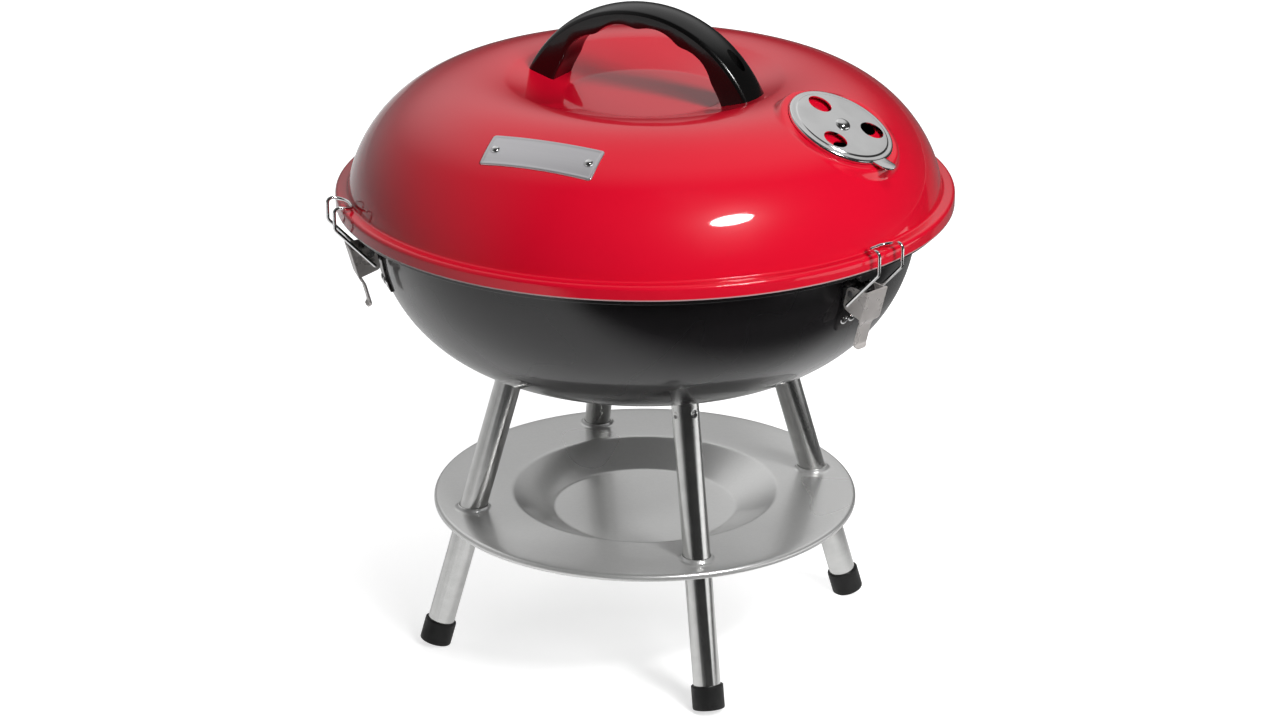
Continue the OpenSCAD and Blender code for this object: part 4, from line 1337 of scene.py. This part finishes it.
def pale_floor(tree, lift, shine):
    """Pale paper that keeps the grill's shadow and is lifted to white for the camera, more so far away."""
    middle, near, away, grey = (0.02, -0.07, 0), 0.08, 0.30, 0.56
    ray = wired(tree, "ShaderNodeLightPath").node.outputs
    place = wired(tree, "ShaderNodeTexCoord", out="Object")
    reach = wired(tree, "ShaderNodeVectorMath", {0: place, 1: middle}, out="Value",
                  operation="DISTANCE")
    far = wired(tree, "ShaderNodeMapRange", {"Value": reach, "From Min": near, "From Max": away,
                                             "To Min": lift, "To Max": 1.0})
    seen = wired(tree, "ShaderNodeMath", {0: ray["Is Camera Ray"], 1: far}, operation="MULTIPLY")
    light = wired(tree, "ShaderNodeMath", {0: ray["Is Glossy Ray"], 1: shine, 2: seen},
                  operation="MULTIPLY_ADD")
    paper = wired(tree, "ShaderNodeBsdfDiffuse", {"Color": (grey, grey, grey, 1)})
    glow = wired(tree, "ShaderNodeEmission", {"Strength": light})
    return wired(tree, "ShaderNodeAddShader", {0: paper, 1: glow})


def softbox(name, azimuth, elevation, distance, width, height, power, shape="RECTANGLE", mirrored=False,
            dull=True):
    """A lamp that faces the grill, from angles in degrees and lengths in metres.

    Only a mirrored one shows in bright surfaces, and only a dull one lights the rest.
    """
    lamp = bpy.data.lights.new(name, "AREA")
    lamp.shape, lamp.size, lamp.size_y, lamp.energy = shape, width, height, power
    aim = Vector((0, 0, 0.2))
    obj = facing(name, lamp, aim + distance * aimed(azimuth, elevation), aim)
    obj.visible_glossy, obj.visible_diffuse = mirrored, dull


def card_shade(tree):
    """Black from two edges outwards, towards the camera's right and behind it, and clear elsewhere."""
    near, soft = 0.10, 0.22
    place = wired(tree, "ShaderNodeTexCoord", out="Object")
    edges = [towards(tree, place, azimuth, 0, near, near + wide, dark)
             for azimuth, wide, dark in ((-12, soft, 1), (45, 1.5 * soft, 0.8))]
    most = wired(tree, "ShaderNodeMath", dict(enumerate(edges)), operation="MAXIMUM")
    clear = wired(tree, "ShaderNodeBsdfTransparent")
    black = wired(tree, "ShaderNodeBsdfDiffuse", {"Color": (0.02, 0.02, 0.02, 1)})
    return wired(tree, "ShaderNodeMixShader", {0: most, 1: clear, 2: black})


def make_stage():
    """Floor, dark card for reflections, lamps, world and camera."""
    scene = bpy.context.scene
    st = scene.grill_stage
    stage_sheet("floor", 9, 0, pale_floor, st.floor_lift, st.floor_shine)
    card = stage_sheet("dark_card", 8, 2 * MM, card_shade)
    card.visible_camera = card.visible_diffuse = card.visible_shadow = card.visible_transmission = False
    studio_world(st.room)
    softbox("key", -22, 44, 2.3, 0.6, 0.28, st.key_power, "ELLIPSE", mirrored=True)
    softbox("top", -32, 67, 2.2, 0.5, 0.5, st.top_power)
    softbox("front", -29, 30, 2.6, 1.0, 0.8, st.fill_power)
    softbox("side", 18, -6.2, 0.92, 1.0, 0.19, st.side_power, mirrored=True, dull=False)
    softbox("back", 119, 40, 2.4, 1.4, 0.8, st.back_power)
    camera = bpy.data.cameras.new("camera")
    camera.sensor_width, camera.lens, camera.clip_end = 36, st.lens, 50
    scene.camera = facing("camera", camera, Vector(st.camera), Vector(st.target))
    scene.view_settings.view_transform = "Standard"


class GRILL_OT_stage(Operator):
    """Make the floor, lamps, world and camera"""

    bl_idname = "grill.stage"
    bl_label = "Stage"

    def execute(self, context):
        make_stage()
        return {"FINISHED"}


class GRILL_OT_lid(Operator):
    """Make the enamelled lid with its vent seat"""

    bl_idname = "grill.lid"
    bl_label = "Lid"

    def execute(self, context):
        make_lid()
        return {"FINISHED"}


class GRILL_OT_handle(Operator):
    """Make the moulded handle and its fixings"""

    bl_idname = "grill.handle"
    bl_label = "Handle"

    def execute(self, context):
        make_handle()
        make_handle_fixings()
        return {"FINISHED"}


class GRILL_OT_badge(Operator):
    """Make the bare badge plate and its rivets"""

    bl_idname = "grill.badge"
    bl_label = "Badge"

    def execute(self, context):
        make_badge()
        return {"FINISHED"}


class GRILL_OT_vents(Operator):
    """Make both vent discs and their rivets"""

    bl_idname = "grill.vents"
    bl_label = "Vents"

    def execute(self, context):
        make_vents()
        return {"FINISHED"}


class GRILL_OT_bowl(Operator):
    """Make the enamelled bowl"""

    bl_idname = "grill.bowl"
    bl_label = "Bowl"

    def execute(self, context):
        make_bowl()
        return {"FINISHED"}


class GRILL_OT_grates(Operator):
    """Make the cooking grate and the charcoal grate"""

    bl_idname = "grill.grates"
    bl_label = "Grates"

    def execute(self, context):
        make_grates()
        return {"FINISHED"}


class GRILL_OT_latches(Operator):
    """Make the toggle latches"""

    bl_idname = "grill.latches"
    bl_label = "Latches"

    def execute(self, context):
        make_latches()
        return {"FINISHED"}


class GRILL_OT_legs(Operator):
    """Make the tube legs"""

    bl_idname = "grill.legs"
    bl_label = "Legs"

    def execute(self, context):
        make_legs()
        return {"FINISHED"}


class GRILL_OT_catcher(Operator):
    """Make the ash catcher"""

    bl_idname = "grill.catcher"
    bl_label = "Ash catcher"

    def execute(self, context):
        make_catcher()
        return {"FINISHED"}


class GRILL_OT_feet(Operator):
    """Make the rubber foot caps"""

    bl_idname = "grill.feet"
    bl_label = "Feet"

    def execute(self, context):
        make_feet()
        return {"FINISHED"}


class GRILL_OT_fixings(Operator):
    """Give the fixings that keep their CAD shape their finish"""

    bl_idname = "grill.fixings"
    bl_label = "Fixings"

    def execute(self, context):
        paint_cad_nodes()
        return {"FINISHED"}


OPERATORS = (
    GRILL_OT_stage, GRILL_OT_lid, GRILL_OT_handle, GRILL_OT_badge, GRILL_OT_vents, GRILL_OT_bowl,
    GRILL_OT_grates, GRILL_OT_latches, GRILL_OT_legs, GRILL_OT_catcher, GRILL_OT_feet, GRILL_OT_fixings)


class GRILL_PT_pieces(Panel):
    """Lists the grill's pieces"""

    bl_idname = "GRILL_PT_pieces"
    bl_label = "Table-top Grill"
    bl_space_type = "VIEW_3D"
    bl_region_type = "UI"
    bl_category = "Grill"

    def draw(self, context):
        for cls in OPERATORS:
            self.layout.operator(cls.bl_idname)


CLASSES = (GrillSizes, GrillColours, GrillStage, *OPERATORS, GRILL_PT_pieces)


def register():
    """Registers the classes and hangs their properties on the scene."""
    for cls in CLASSES:
        bpy.utils.register_class(cls)
    bpy.types.Scene.grill_sizes = PointerProperty(type=GrillSizes)
    bpy.types.Scene.grill_colours = PointerProperty(type=GrillColours)
    bpy.types.Scene.grill_stage = PointerProperty(type=GrillStage)


def unregister():
    """Takes the properties and classes away again."""
    del bpy.types.Scene.grill_stage, bpy.types.Scene.grill_colours, bpy.types.Scene.grill_sizes
    for cls in reversed(CLASSES):
        bpy.utils.unregister_class(cls)


def main():
    register()
    for cls in OPERATORS:
        group, name = cls.bl_idname.split(".")
        getattr(getattr(bpy.ops, group), name)()


if __name__ == "__main__":
    main()
